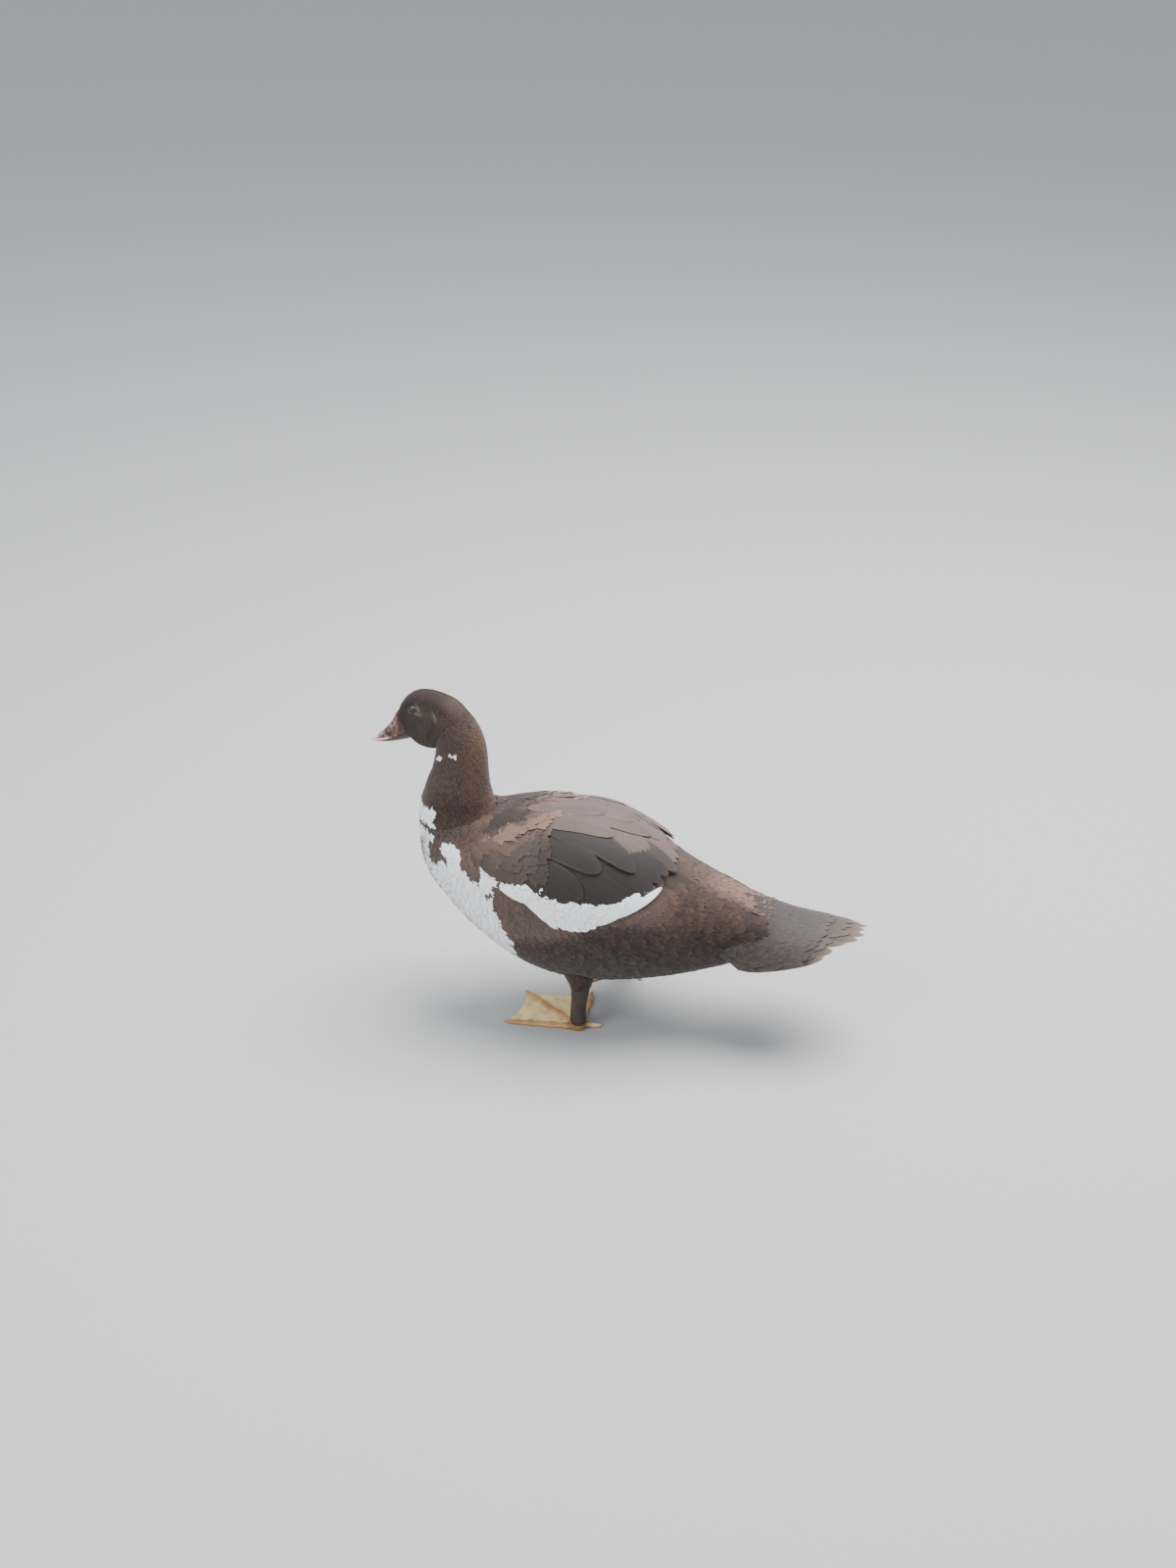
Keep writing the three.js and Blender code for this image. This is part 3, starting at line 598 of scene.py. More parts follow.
def vane_faces(rows, columns):
    """Quads of a vane whose upper and lower face share their rim, and which points the lower face adds."""
    top = np.arange(rows * columns).reshape(rows, columns)
    bottom = top.copy()
    bottom[1:-1, 1:-1] = rows * columns + np.arange((rows - 2) * (columns - 2)).reshape(rows - 2, columns - 2)
    # Both faces of a cell are split along the same diagonal, which starts at a corner of the vane.
    quads = []
    for grid, order, turned in ((top, (0, 1, 2, 3), (1, 2, 3, 0)), (bottom, (0, 3, 2, 1), (1, 0, 3, 2))):
        cell = np.stack([grid[:-1, :-1], grid[:-1, 1:], grid[1:, 1:], grid[1:, :-1]], -1)
        split = cell[..., order]
        split[0, -1], split[-1, 0] = cell[0, -1, turned], cell[-1, 0, turned]
        quads.append(split.reshape(-1, 4))
    inner = top[1:-1, 1:-1].ravel()
    return np.concatenate(quads), inner


class Coat:
    """Vanes gathered for one piece: points, faces, colours and their places on the skin's unwrap."""

    def __init__(self, seed):
        self.random = np.random.default_rng(seed)
        self.points, self.faces, self.colors, self.bake, self.vane, self.lie = [], [], [], [], [], []
        self.count = 0

    def add(self, form, part, s, angle, size, shape, way=1, lift=(-0.6, 1.5), thick=0.3, turn=0, camber=0.6,
            ragged=0.08, color=None, bend=0, snap=True, power=1.4, soft=0.8):
        """Lay vanes rooted at (s, angle), of size (length, half width); way is their sense along s."""
        s, angle = np.atleast_1d(s).astype(float), np.atleast_1d(angle).astype(float)
        count = len(s)
        if not count:
            return
        length, half = (np.broadcast_to(np.asarray(k, float), (count,)) for k in size)
        low, high = (np.broadcast_to(np.asarray(k, float), (count,)) for k in lift)
        turn = np.broadcast_to(np.asarray(turn, float), (count,))
        bend = np.broadcast_to(np.asarray(bend, float), (count,))
        rows, columns = len(shape["along"]), shape["columns"]
        v = np.broadcast_to(np.asarray(shape["along"])[None, :, None], (count, rows, columns)).copy()
        u = np.linspace(-1, 1, columns)[None, None, :]
        worn = ragged * self.random.uniform(-1, 0.4, (count, 1, columns)) * (1 - 0.8 * u ** 2)
        v += worn * np.clip((v - 0.5) / 0.5, 0, 1)
        u = u * np.asarray(shape["wide"])[None, :, None]
        u = np.broadcast_to(u, v.shape).copy()
        deep = np.array(length)[:, None, None] * v
        across = half[:, None, None] * u + 4 * (bend * length)[:, None, None] * v * (1 - v)
        cos, sin = np.cos(turn)[:, None, None], np.sin(turn)[:, None, None]
        root_stretch = form.stretch(s + way * length * 0.5 * np.cos(turn), angle)[:, None, None]
        where_s = s[:, None, None] + way * (deep * cos - across * sin)
        where_a = angle[:, None, None] + (deep * sin + across * cos) / root_stretch
        raised = low[:, None, None] + (high - low)[:, None, None] * v ** power - camber * u ** 2
        faces, inner = vane_faces(rows, columns)
        shape_at = (count, rows * columns)
        where_s, where_a, raised = (k.reshape(shape_at) for k in (where_s, where_a, raised))
        body = 0.5 * thick * np.sin(np.pi * np.clip(v, 0, 1)).reshape(shape_at)
        top = form.at(where_s, where_a, raised + body)
        bottom = form.at(where_s[:, inner], where_a[:, inner], raised[:, inner] - body[:, inner])
        points = np.concatenate([top, bottom], axis=1)
        roots = form.at(s, angle, np.zeros(count))
        keep = np.ones(count, bool)
        if snap:
            moved = np.zeros((count, 3))
            for k, root in enumerate(metres(roots)):
                near, normal, _, _ = skin_tree.find_nearest(Vector(root))
                above = (Vector(root) - near).dot(normal) * 1000
                keep[k] = above > 0.1
                depth = COAT_DEPTH[part]
                if above < depth:
                    moved[k] = np.array(normal) * (depth - above) * 0.6
            points += moved[:, None]
        uv = np.stack([u.reshape(shape_at), v.reshape(shape_at)], -1)
        uv = np.concatenate([uv, uv[:, inner]], axis=1)
        each = points.shape[1]
        paint_at = color(points, roots, uv, self.random)
        low_v, high_v = UNWRAP[part]
        round_share = (angle / (2 * np.pi)) % 1 if form.closed else (angle - form.first) / form.span
        bake_root = np.stack([0.02 + 0.96 * np.clip(s / form.length, 0, 1),
                              low_v + (high_v - low_v) * round_share], -1)
        bake = bake_root[:, None] + VANE_PATCH * np.stack([uv[..., 0] / 2, uv[..., 1] - 0.5], -1)
        # How the vane lies: the form's own direction, and how far the vane's shading keeps to it.
        normals = form.read(where_s, where_a)[..., 3:6]
        normals = np.concatenate([normals, normals[:, inner]], axis=1)
        rim = np.ones(rows * columns)
        rim[inner] = soft
        rim = np.concatenate([rim, np.zeros(len(inner))])
        lie = np.concatenate([normals, np.broadcast_to(rim[None, :, None], normals.shape[:2] + (1,))], -1)
        points, paint_at, bake, uv, lie = (k[keep] for k in (points, paint_at, bake, uv, lie))
        count = int(keep.sum())
        self.points.append(points.reshape(-1, 3))
        self.colors.append(paint_at.reshape(-1, 3))
        self.lie.append(lie.reshape(-1, 4))
        self.bake.append(bake.reshape(-1, 2))
        self.vane.append((uv * [0.5, 1] + [0.5, 0]).reshape(-1, 2))
        first = self.count + np.arange(count) * each
        self.faces.append((faces[None] + first[:, None, None]).reshape(-1, 4))
        self.count += count * each

    def piece(self, name, material, slot):
        faces = np.concatenate(self.faces)
        made = new_object(name, np.concatenate(self.points), faces)
        paint(made, np.concatenate(self.colors))
        corners = faces.ravel()
        for layer_name, values in (("OFBake", self.bake), ("vane", self.vane)):
            layer = made.data.uv_layers.new(name=layer_name)
            layer.data.foreach_set("uv", np.concatenate(values)[corners].astype(np.float32).ravel())
        lie = np.concatenate(self.lie)
        own = np.zeros(len(lie) * 3, np.float32)
        made.data.vertices.foreach_get("normal", own)
        normals = lie[:, :3] * lie[:, 3:] + own.reshape(-1, 3) * (1 - lie[:, 3:])
        normals /= np.linalg.norm(normals, axis=1, keepdims=True) + 1e-9
        layer = made.data.attributes.new("custom_normal", "FLOAT_VECTOR", "POINT")
        layer.data.foreach_set("vector", normals.astype(np.float32).ravel())
        made.data.materials.append(material)
        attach(made, "root")
        return made


LONG_VANE = {
    "along": [0, 0.1, 0.22, 0.35, 0.48, 0.6, 0.72, 0.82, 0.9, 0.96, 1],
    "wide": [0.3, 0.6, 0.84, 0.95, 1, 1, 0.97, 0.88, 0.7, 0.48, 0.14], "columns": 9,
}


def on_torso(coat, side, roots, tips, half, shape, lift, color, bend=0.0, **more):
    """Vanes from roots to tips, each a list of (x, degrees from the top) on the torso."""
    roots, tips = np.asarray(roots, float), np.asarray(tips, float)
    s0, s1 = torso_along(roots[:, 0]), torso_along(tips[:, 0])
    a0, a1 = np.radians(roots[:, 1]) * side, np.radians(tips[:, 1]) * side
    middle = torso.stretch((s0 + s1) / 2, (a0 + a1) / 2)
    ahead, aside = s1 - s0, (a1 - a0) * middle
    coat.add(torso, "torso", s0, a0, (np.hypot(ahead, aside), half), shape, lift=lift,
             turn=np.arctan2(aside, ahead), color=color, bend=bend * side, snap=False, power=1.0, **more)


def coat_white(points, roots, uv, random):
    return WHITE * random.normal(1, 0.012, (len(roots), 1, 1)) * (1 - 0.05 * (1 - uv[..., 1:]))


ROW_SHARE = 0.8


def staggered_roots(form, start, stop, gap, random):
    """Roots in staggered rows round a form; gap gives the spacing in mm at s."""
    found_s, found_angle = [], []
    s, row = start, 0
    while s < stop:
        spacing = gap(s)
        ring = form.at(np.full(49, s), np.linspace(0, 2 * np.pi, 49), np.zeros(49))
        girth = np.linalg.norm(np.diff(ring, axis=0), axis=1).sum()
        count = max(int(girth / spacing), 6)
        turns = np.arange(count) + 0.5 * (row % 2) + random.uniform(-0.28, 0.28, count)
        found_angle.append(turns * 2 * np.pi / count)
        found_s.append(s + random.uniform(-0.35, 0.35, count) * spacing)
        s += spacing * ROW_SHARE
        row += 1
    return np.concatenate(found_s), np.concatenate(found_angle)


def coat_color(points, roots, uv, random):
    """Markings where the feather shows, a little lighter or darker, with streaks and a worn end."""
    late = uv[..., 1:] > 0.5
    color, white = plumage((points * late).sum(1) / late.sum(1))
    dark = ~white[:, None, None]
    shade = random.normal(1, 0.05, (len(roots), 1, 1)) * dark + (1 - dark)
    streak = 1 + 0.06 * dark * np.sin(uv[..., :1] * 9 + random.uniform(0, 6, (len(roots), 1, 1)))
    end = np.clip((uv[..., 1:] - 0.55) / 0.45, 0, 1)
    worn = random.uniform(0, 0.22, (len(roots), 1, 1)) * dark
    base = color[:, None] * shade * streak
    return base + (RUST * 1.15 - base) * end * worn - base * 0.08 * (1 - end) * dark


feather_soft = plumage_material("body_feather", 0.82, 0.14, 34)

# Where the folded wing covers the body, as x and degrees from the top.
WING_COVER = [(-106, 50), (-100, 47), (-79, 38), (-60, 31), (-45, 25), (-31, 18), (-9, 11), (8, -2),
              (100, -2), (110, 6), (116, 20), (110, 40), (98, 52), (75, 70), (49, 75), (24, 75), (-5, 74),
              (-35, 70), (-60, 69), (-76, 62), (-92, 60)]


def shoulder_rise(x, degrees):
    """The mantle lies over the front of the wing, so it stands higher there."""
    rise = 5.6 * eased(x, -112, -62) * (1 - eased(x, 0, 40)) * (0.45 + 0.55 * eased(degrees, 4, 20))
    return (rise * (1 - eased(degrees, 48, 60)))[..., 0]


def body_gap(s):
    return np.interp(s, [0, torso_along(-95), torso_along(-20), torso_along(120), torso.length],
                     [3.4, 4.2, 5.3, 5.3, 4.8])


TAIL_ROWS = [[150, 186, 40, 52], [172, 178, 52, 62], [200, 169, 62, 60], [230, 158, 64, 46],
             [262, 149, 60, 31], [300, 144, 52, 20], [336, 141, 44, 14]]
TAIL_GRID = (200, 61)
TAIL_REACH = 1.02
tail_stations = smooth_rows(TAIL_ROWS, TAIL_GRID[0])
tail_across = np.linspace(-TAIL_REACH, TAIL_REACH, TAIL_GRID[1])
tail_x, tail_top, tail_wide, tail_hang = (tail_stations[:, k:k + 1] for k in range(4))
tail = Surface(np.stack([np.broadcast_to(tail_x, TAIL_GRID), -tail_across * tail_wide,
                         tail_top - tail_hang * tail_across ** 2], -1), tail_across, False)


def tail_along(x):
    return np.interp(x, tail_stations[:, 0], tail.s)


tail_grid = np.arange(TAIL_GRID[0] * TAIL_GRID[1]).reshape(TAIL_GRID)
tail_cells = np.stack([tail_grid[:-1, :-1], tail_grid[1:, :-1], tail_grid[1:, 1:], tail_grid[:-1, 1:]], -1)
tail_tree = BVHTree.FromPolygons([tuple(k) for k in tail.points.reshape(-1, 3)],
                                 [tuple(k) for k in tail_cells.reshape(-1, 4).tolist()])


def under_tail(s, angle):
    """How far the tail stands over the torso at a place on it, 0 where it doesn't."""
    places, ahead = torso.at(s, angle, np.zeros(s.shape)), torso.read(s, angle)[..., 3:6]
    found = np.zeros(len(s))
    for k, (place, way) in enumerate(zip(places, ahead)):
        if place[0] > 150:
            distance = tail_tree.ray_cast(Vector(place), Vector(way), 26)[3]
            found[k] = distance or 0
    return found


def band_place(x, share):
    """Degrees from the top in the white band under the wing; share is 0 at its upper edge, 1 at its lower."""
    high = np.interp(x, [-64, -49, -26, -3, 12, 34, 53, 69, 81, 99, 108],
                     [68, 65, 65, 69, 71, 72, 71, 68, 61, 47, 44])
    low = np.interp(x, [-64, -48, -25, -13, -2, 31, 50, 62, 74, 93, 104, 108],
                    [72, 73, 76, 84, 88, 88, 82, 77, 70, 60, 51, 45])
    return high + (low - high) * share


# The coat is three pieces, parted at these degrees from the top.
UPPER_EDGE = 66
UNDER_EDGE = 113
# Long white blades behind the flank: root and tip as x and degrees from the top, half width, sideways bow
# and how much lower the tip lies.
FLANK_BLADES = [
    ((22, 84), (107, 45), 4.6, 0.13, 0), ((6, 84), (92, 58), 4.6, 0.10, 0.4),
    ((-6, 82), (74, 68), 5.2, 0.06, 0.6), ((-20, 78), (58, 73), 5.2, 0.05, 0.8)]
FAR_BLADE_TIP = (92, 57)

body_random = np.random.default_rng(3)
body_s, body_angle = staggered_roots(torso, 3, torso.length - 14, body_gap, body_random)
body_x, body_degrees = torso_place(torso.at(body_s, body_angle, np.zeros(body_s.shape)))
open_coat = ~inside(WING_COVER, body_x, body_degrees)
body_s, body_angle, body_x, body_degrees = (k[open_coat] for k in (body_s, body_angle, body_x, body_degrees))
body_length = np.interp(body_x, [-177, -100, -20, 120, 240], [11, 15, 22, 25, 24])
body_half = np.interp(body_x, [-177, -100, -20, 120, 240], [3.2, 4.2, 6.2, 6.6, 6.2])
body_side = np.where(np.sin(body_angle) > 0, LEFT, RIGHT)
droop = body_side * np.radians(np.interp(body_degrees, [0, 40, 90, 140, 180], [3, 6, 6, 2, 0]))
rise = shoulder_rise(body_x, body_degrees)
over = under_tail(body_s + body_length * 0.9, body_angle)
over = np.minimum(over * (1 - eased(body_degrees, 84, 104)[:, 0]), 9)
for name, chosen in (("body_feathers_upper", body_degrees < UPPER_EDGE),
                     ("body_feathers_side", (body_degrees >= UPPER_EDGE) & (body_degrees < UNDER_EDGE)),
                     ("body_feathers_under", body_degrees >= UNDER_EDGE)):
    coat = Coat(17)
    number = int(chosen.sum())
    coat.add(torso, "torso", body_s[chosen], body_angle[chosen],
             (body_length[chosen] * coat.random.uniform(0.8, 1.2, number),
              body_half[chosen] * coat.random.uniform(0.8, 1.2, number)),
             BODY_VANE, lift=(rise[chosen] - 1.2, rise[chosen] + over[chosen] * 1.05
                              + coat.random.uniform(0, 0.5, number)), thick=0.25,
             turn=droop[chosen] + coat.random.normal(0, 0.16, number), camber=0.45, ragged=0.3,
             color=coat_color)
    if name == "body_feathers_side":
        # White flank feathers over the lower edge of each wing, ragged above and smooth behind.
        for side in (LEFT, RIGHT):
            x = coat.random.uniform(-67, 70, 340)
            share = coat.random.uniform(0, 1, len(x))
            sink = np.clip(share + coat.random.uniform(0.05, 0.35, len(x)), 0, 1.04)
            reach = coat.random.uniform(15, 22, len(x))
            roots = np.column_stack([x, band_place(x, share)])
            tips = np.column_stack([x + reach, band_place(x + reach, sink)])
            on_torso(coat, side, roots, tips, coat.random.uniform(3.6, 5, len(x)), BODY_VANE,
                     (0.8, 3.6 + (1 - share)), coat_white, ragged=0.3, thick=0.3, camber=0.3)
            for root, tip, half, bow, drop in FLANK_BLADES:
                if side == RIGHT and drop == 0:
                    # The far wing ends further forward, and its longest blade with it.
                    tip = FAR_BLADE_TIP
                on_torso(coat, side, [root], [tip], half, LONG_VANE, (1.4, 4.4 - drop), coat_white,
                         bend=bow, ragged=0.02, thick=0.5, camber=0.9)
    coat.piece(name, feather_soft, "body_plumage")

thigh_coat = Coat(29)
for side, form in thighs.items():
    s, angle = staggered_roots(form, 1, form.length * 0.8, lambda _: 3.0, thigh_coat.random)
    size = (thigh_coat.random.uniform(8, 14, len(s)), 2.4)
    thigh_coat.add(form, "thigh", s, angle, size, SMALL_VANE, way=-1, lift=(-0.8, 0.3), color=coat_color,
                   ragged=0.3)
thigh_coat.piece("thigh_feathers", feather_soft, "body_plumage")

# Neck and head feathers
# Short, dense and close, pointing down the neck and back over the head. They stop at the lids and at
# the edge of the bill.
EYE = np.array([13, 17.2, 6.5])
EYE_CLEAR = 5.9
BILL_PLACE = (41, 0, -22)
BILL_NOD = 8
BILL_FRAME = HEAD_FRAME @ np.array(Matrix.Translation(BILL_PLACE)) @ rotation("Y", BILL_NOD)
velvet = plumage_material("head_feather", 0.85, 0.14, 0)


def neck_gap(s):
    return np.interp(s, [20, 90, 170, 195], [3.2, 2.6, 2.2, 1.8])


neck_coat = Coat(5)
neck_s, neck_angle = staggered_roots(neck, 22, neck.length - 4, neck_gap, neck_coat.random)
number = len(neck_s)
neck_size = np.interp(neck_s, [20, 90, neck.length - 40, neck.length - 12], [12, 9, 7, 4.4])
neck_sink = 0.9 * eased(neck_s, neck.length - 36, neck.length - 14)[:, 0]
neck_reach = neck_size * neck_coat.random.uniform(0.85, 1.15, number)
neck_lift = neck_coat.random.uniform(0, 0.35, number) - neck_sink
neck_coat.add(neck, "neck", neck_s, neck_angle, (neck_reach, neck_size * 0.2), SMALL_VANE, way=-1,
              lift=(-0.9 - neck_sink, neck_lift), thick=0.25,
              turn=neck_coat.random.normal(0, 0.12, number), camber=0.25, ragged=0.3, color=coat_color)
neck_coat.piece("neck_feathers", velvet, "head_plumage")

head_coat = Coat(7)
head_s, head_angle = staggered_roots(head, 1, head.length - 0.5, lambda s: 1.7, head_coat.random)
head_roots = head.at(head_s, head_angle, np.zeros(head_s.shape))
head_local = carried(np.linalg.inv(HEAD_FRAME), head_roots)
bill_local = carried(np.linalg.inv(BILL_FRAME), head_roots)
from_eye = np.linalg.norm((head_local - EYE) / [1.1, 1, 1], axis=1)
from_other_eye = np.linalg.norm((head_local - EYE * [1, -1, 1]) / [1.1, 1, 1], axis=1)
in_bill = (bill_local[:, 0] > -1.5) & (np.abs(bill_local[:, 1]) < 12.5) & (bill_local[:, 2] > -8) \
    & (bill_local[:, 2] < 27.5)
clear = EYE_CLEAR + 3.0 * eased(head_local[:, 0] - EYE[0], 0, 6)[:, 0]
feathered = (from_eye > clear) & (from_other_eye > clear) & ~in_bill
head_s, head_angle, head_local = head_s[feathered], head_angle[feathered], head_local[feathered]
number = len(head_s)
head_size = np.interp(head_local[:, 0], [-40, 10, 40], [5.6, 4.0, 2.6])
head_coat.add(head, "head", head_s, head_angle,
              (head_size * head_coat.random.uniform(0.85, 1.15, number), head_size * 0.21),
              SMALL_VANE, way=-1, lift=(-0.6, head_coat.random.uniform(0, 0.2, number)), thick=0.2,
              turn=head_coat.random.normal(0, 0.12, number), camber=0.15, ragged=0.3, color=coat_color)
head_coat.piece("head_feathers", velvet, "head_plumage")

# Wings
# The folded wing lies along the side under the white flank feathers: dark flight feathers, four large
# smooth coverts, small scaly ones at the shoulder, and long smooth scapulars over its top.
WING_DARK = srgb(44, 38, 36)
COVERT_GREY = srgb(43, 37, 35)
COVERT_RUST = srgb(86, 68, 58)
LESSER_GREY = srgb(70, 58, 52)
SCAPULAR = srgb(95, 79, 72)
# Root and tip as x and degrees from the top, half width, sideways bow, lift of root and of tip.
LARGE_COVERTS = [
    ((-46, 50), (28, 68), 15, -0.03, 2.2, 4.6), ((-34, 38), (44, 50), 13.5, -0.04, 3.0, 5.3),
    ((-18, 29), (79, 43), 14, -0.07, 3.8, 5.8), ((-34, 22), (51, 24), 11.5, -0.03, 4.6, 6.3)]
TERTIALS = [
    ((30, 28), (114, 21), 10, 0.05, 2.2, 2.0), ((18, 20), (108, 13), 10, 0.05, 3.0, 1.8),
    ((34, 14), (118, 11), 11, 0.0, 1.6, 0.8), ((28, 5), (119, 4), 11, 0.0, 1.8, 0.9),
    ((-14, 9), (87, 6), 12.5, 0.05, 5.0, 3.2), ((-30, 5), (66, 3), 10, 0.02, 5.2, 4.2),
    ((-50, 8), (36, 7), 11, 0.02, 4.8, 5.0), ((10, 4), (96, 3), 9, 0.0, 4.0, 1.8)]
FAR_WING_FORWARD = 16
FAR_WING_SETTLED = 0.6


def smooth_vane(dark, fringe_color, fringe, spread=0.04):
    """A smooth vane: a thin dark shaft, and paler along its worn edge."""
    def color(points, roots, uv, random):
        shade = random.normal(1, spread, (len(roots), 1, 1))
        edge = np.clip((np.maximum(np.abs(uv[..., 0]), uv[..., 1] - 0.1) - 0.8) / 0.2, 0, 1)[..., None]
        shaft = 1 - 0.12 * np.exp(-(uv[..., :1] / 0.06) ** 2)
        # The upper vanes are paler, as they turn to the sky.
        degrees = torso_place(roots)[1] - 10 * (roots[:, 1] > 0)
        base = towards(dark, SCAPULAR, 0.9 * (1 - eased(degrees[:, None], 22, 28)))
        base = base * (1 + 0.3 * eased(roots[:, None, 0], -20, 20) * (1 - eased(degrees[:, None], 14, 26)))
        base = base * shade * shaft * (0.94 + 0.06 * uv[..., 1:])
        return base + (fringe_color - base) * edge * fringe
    return color


wing_gloss = plumage_material("wing_feather", 0.6, 0.07, 90)


def line_at(points, count):
    return smooth_rows(np.column_stack([points, np.zeros((len(points), 1))]), count)[:, :2]


def fold_wing(side):
    coat = Coat(40 + side)
    random = coat.random

    # The far wing is folded a little further forward, as in the photograph's outline.
    drawn_in = FAR_WING_FORWARD if side == RIGHT else 0

    def drawn(tips):
        tips = np.array(tips, float)
        tips[:, :1] -= drawn_in * eased(tips[:, 0], 60, 90) * (1 - eased(tips[:, 1], 26, 44))
        return tips

    def settled(vanes):
        lower = FAR_WING_SETTLED if side == RIGHT else 1
        return [(*vane[:4], vane[4] * lower, vane[5] * lower) for vane in vanes]

    def tier(count, roots, tips, half, lift, color, **more):
        root_line, tip_line = line_at(roots, count), drawn(line_at(tips, count))
        tip_line = tip_line + random.normal(0, 1, tip_line.shape) * [1.2, 0.5]
        on_torso(coat, side, root_line, tip_line, half * random.uniform(0.95, 1.05, count), LONG_VANE,
                 (lift[0] + np.zeros(count), lift[1] + np.linspace(0, 0.9, count)), color, **more)

    def one_by_one(vanes, color, **more):
        for root, tip, half, bow, low, high in vanes:
            on_torso(coat, side, [root], drawn([tip]), half, LONG_VANE, (low, high), color, bend=bow, **more)

    dark = smooth_vane(WING_DARK, COVERT_RUST, 0.25)
    # A close under layer, then the flight feathers, whose tips make the wing's rear and lower edge.
    tier(14, [(-80, 52), (-60, 40), (-30, 30), (10, 16)], [(-20, 66), (10, 60), (50, 44), (90, 20)], 14,
         (0.8, 2.0), dark, camber=0.4, thick=0.4, ragged=0.0)
    tier(13, [(-68, 56), (-30, 54), (4, 44), (34, 26)], [(-30, 71), (44, 74), (92, 58), (118, 22)], 12.5,
         (1.2, 2.8), dark, bend=-0.03, camber=0.5, thick=0.4, ragged=0.015)
    grey = smooth_vane(COVERT_GREY, COVERT_RUST, 0.3)
    one_by_one(TERTIALS[:4], grey, camber=0.5, thick=0.4, ragged=0.015)
    tier(5, [(-72, 57), (-50, 57), (-30, 54)], [(-34, 68), (-12, 70), (14, 71)], 11, (1.6, 3.8), grey,
         camber=0.5, thick=0.4, ragged=0.02)
    one_by_one(LARGE_COVERTS[:2] + settled(LARGE_COVERTS[2:]), grey, camber=0.6, thick=0.5, ragged=0.0)
    # Small soft coverts over the shoulder, rusty towards its top.
    for row in range(9):
        x0 = -104 + 8.4 * row
        upper = np.interp(x0, [-104, -79, -60, -45, -31], [50, 38, 31, 25, 20])
        lower = np.interp(x0, [-104, -90, -60, -30], [56, 61, 60, 55])
        count = max(int((lower - upper) / 3.4), 3)
        degrees = np.linspace(upper, lower, count) + random.normal(0, 0.9, count)
        roots = np.column_stack([x0 + random.normal(0, 1.6, count), degrees])
        reach = 15 + 0.9 * row
        tips = roots + np.column_stack([np.full(count, reach), 1.5 + 2.5 * (degrees - upper) / 20])
        level = 3.0 + 2.6 * min(row / 4, 1) - 1.2 * np.clip((degrees - 44) / 16, 0, 1) \
            - 0.12 * row * random.uniform(0, 1, count)
        rust = eased(random.uniform(0, 1, count) + 0.4 - (degrees - upper) / 22, 0.3, 0.9)
        tone = towards(LESSER_GREY, COVERT_RUST, rust[:, None])
        # The rear rows take the tone of the large coverts beside them, paler on the upper ones with the same
        # painted sky light.
        near = towards(COVERT_GREY, SCAPULAR, 0.9 * (1 - eased(degrees, 24, 32)))
        tone = towards(tone, near[:, None], 0.9 * eased(np.array([row]), 5.5, 9.5))

        def scaly(points, roots, uv, random, tone=tone):
            shade = random.normal(1, 0.06, (len(roots), 1, 1))
            end = np.clip((uv[..., 1:] - 0.6) / 0.4, 0, 1)
            return tone * shade * (0.93 + 0.13 * end)

        on_torso(coat, side, roots, tips, random.uniform(5.4, 6.6, count) + 0.25 * row, BODY_VANE,
                 (level - 1.6, level), scaly, camber=0.3, ragged=0.2, thick=0.25)
    smooth_top = smooth_vane(SCAPULAR, COVERT_RUST, 0.4, 0.05)
    one_by_one(settled(TERTIALS[4:]), smooth_top, camber=0.5, thick=0.5, ragged=0.0)
    name = f"wing_{SIDE_NAMES[side]}_feathers"
    made = coat.piece(name, wing_gloss, "wing_feather")
    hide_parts(f"wing_{SIDE_NAMES[side]}")


fold_wing(LEFT)
fold_wing(RIGHT)

# Tail
# A long arched fan: stiff tail feathers with pale worn tips, and softer coverts over their roots. They lie
# in tiers on the tail's arched form, and a short tier closes the fan from below.
TAIL_GREY = srgb(66, 58, 56)
TAIL_TIP = srgb(128, 105, 88)


def tail_color(tip):
    """Rump brown that turns grey towards the end, darker with painted shade on its hanging sides, with a pale
    worn tip.
    """
    def color(points, roots, uv, random):
        points = points.reshape(uv.shape[:2] + (3,))
        base = towards(RUMP_BROWN, TAIL_GREY, eased(points[..., 0], 190, 262))
        # Painted shade on the hanging sides of the tail.
        base = towards(base, TAIL_GREY * 0.6, 0.8 * eased(np.abs(points[..., 1]), 36, 54))
        worn = np.clip((uv[..., 1:] - 0.8) / 0.2, 0, 1) ** 1.5
        edge = np.clip((np.abs(uv[..., :1]) - 0.8) / 0.2, 0, 1) * 0.16
        shaft = 1 - 0.14 * np.exp(-(uv[..., :1] / 0.06) ** 2)
        tinted = base * random.normal(1, 0.04, (len(roots), 1, 1)) * shaft
        return tinted + (TAIL_TIP - tinted) * np.maximum(worn * tip, edge)
    return color


tail_coat = Coat(61)
UNWRAP["tail"] = (0.02, 0.98)
for count, spread, half, start, end, side_step, lift, tip in (
        (16, 0.88, 10.5, 192, 334, 54, (-2.0, -1.8), 0.8), (13, 0.84, 10.5, 180, 318, 48, (-1.2, -0.9), 0.4),
        (13, 0.82, 10, 172, 300, 46, (-0.6, -0.2), 0.2), (16, 0.8, 9, 190, 286, 30, (-5, -4), 0.3)):
    across = np.linspace(-spread, spread, count) + tail_coat.random.normal(0, 0.012, count)
    tips = end - side_step * across ** 2 - tail_coat.random.uniform(0, 9, count)
    # The vanes near the middle lie over those at the sides.
    order = (1 - np.abs(across)) * 0.5
    tail_coat.add(tail, "tail", np.full(count, tail_along(start)), across,
                  (tail_along(tips) - tail_along(start), half * (1 + 0.2 * across ** 2)), LONG_VANE,
                  lift=(lift[0] + order, lift[1] + order), thick=0.4, camber=0.4, ragged=0.03,
                  color=tail_color(tip), turn=tail_coat.random.normal(0, 0.02, count), snap=False, power=1.0)
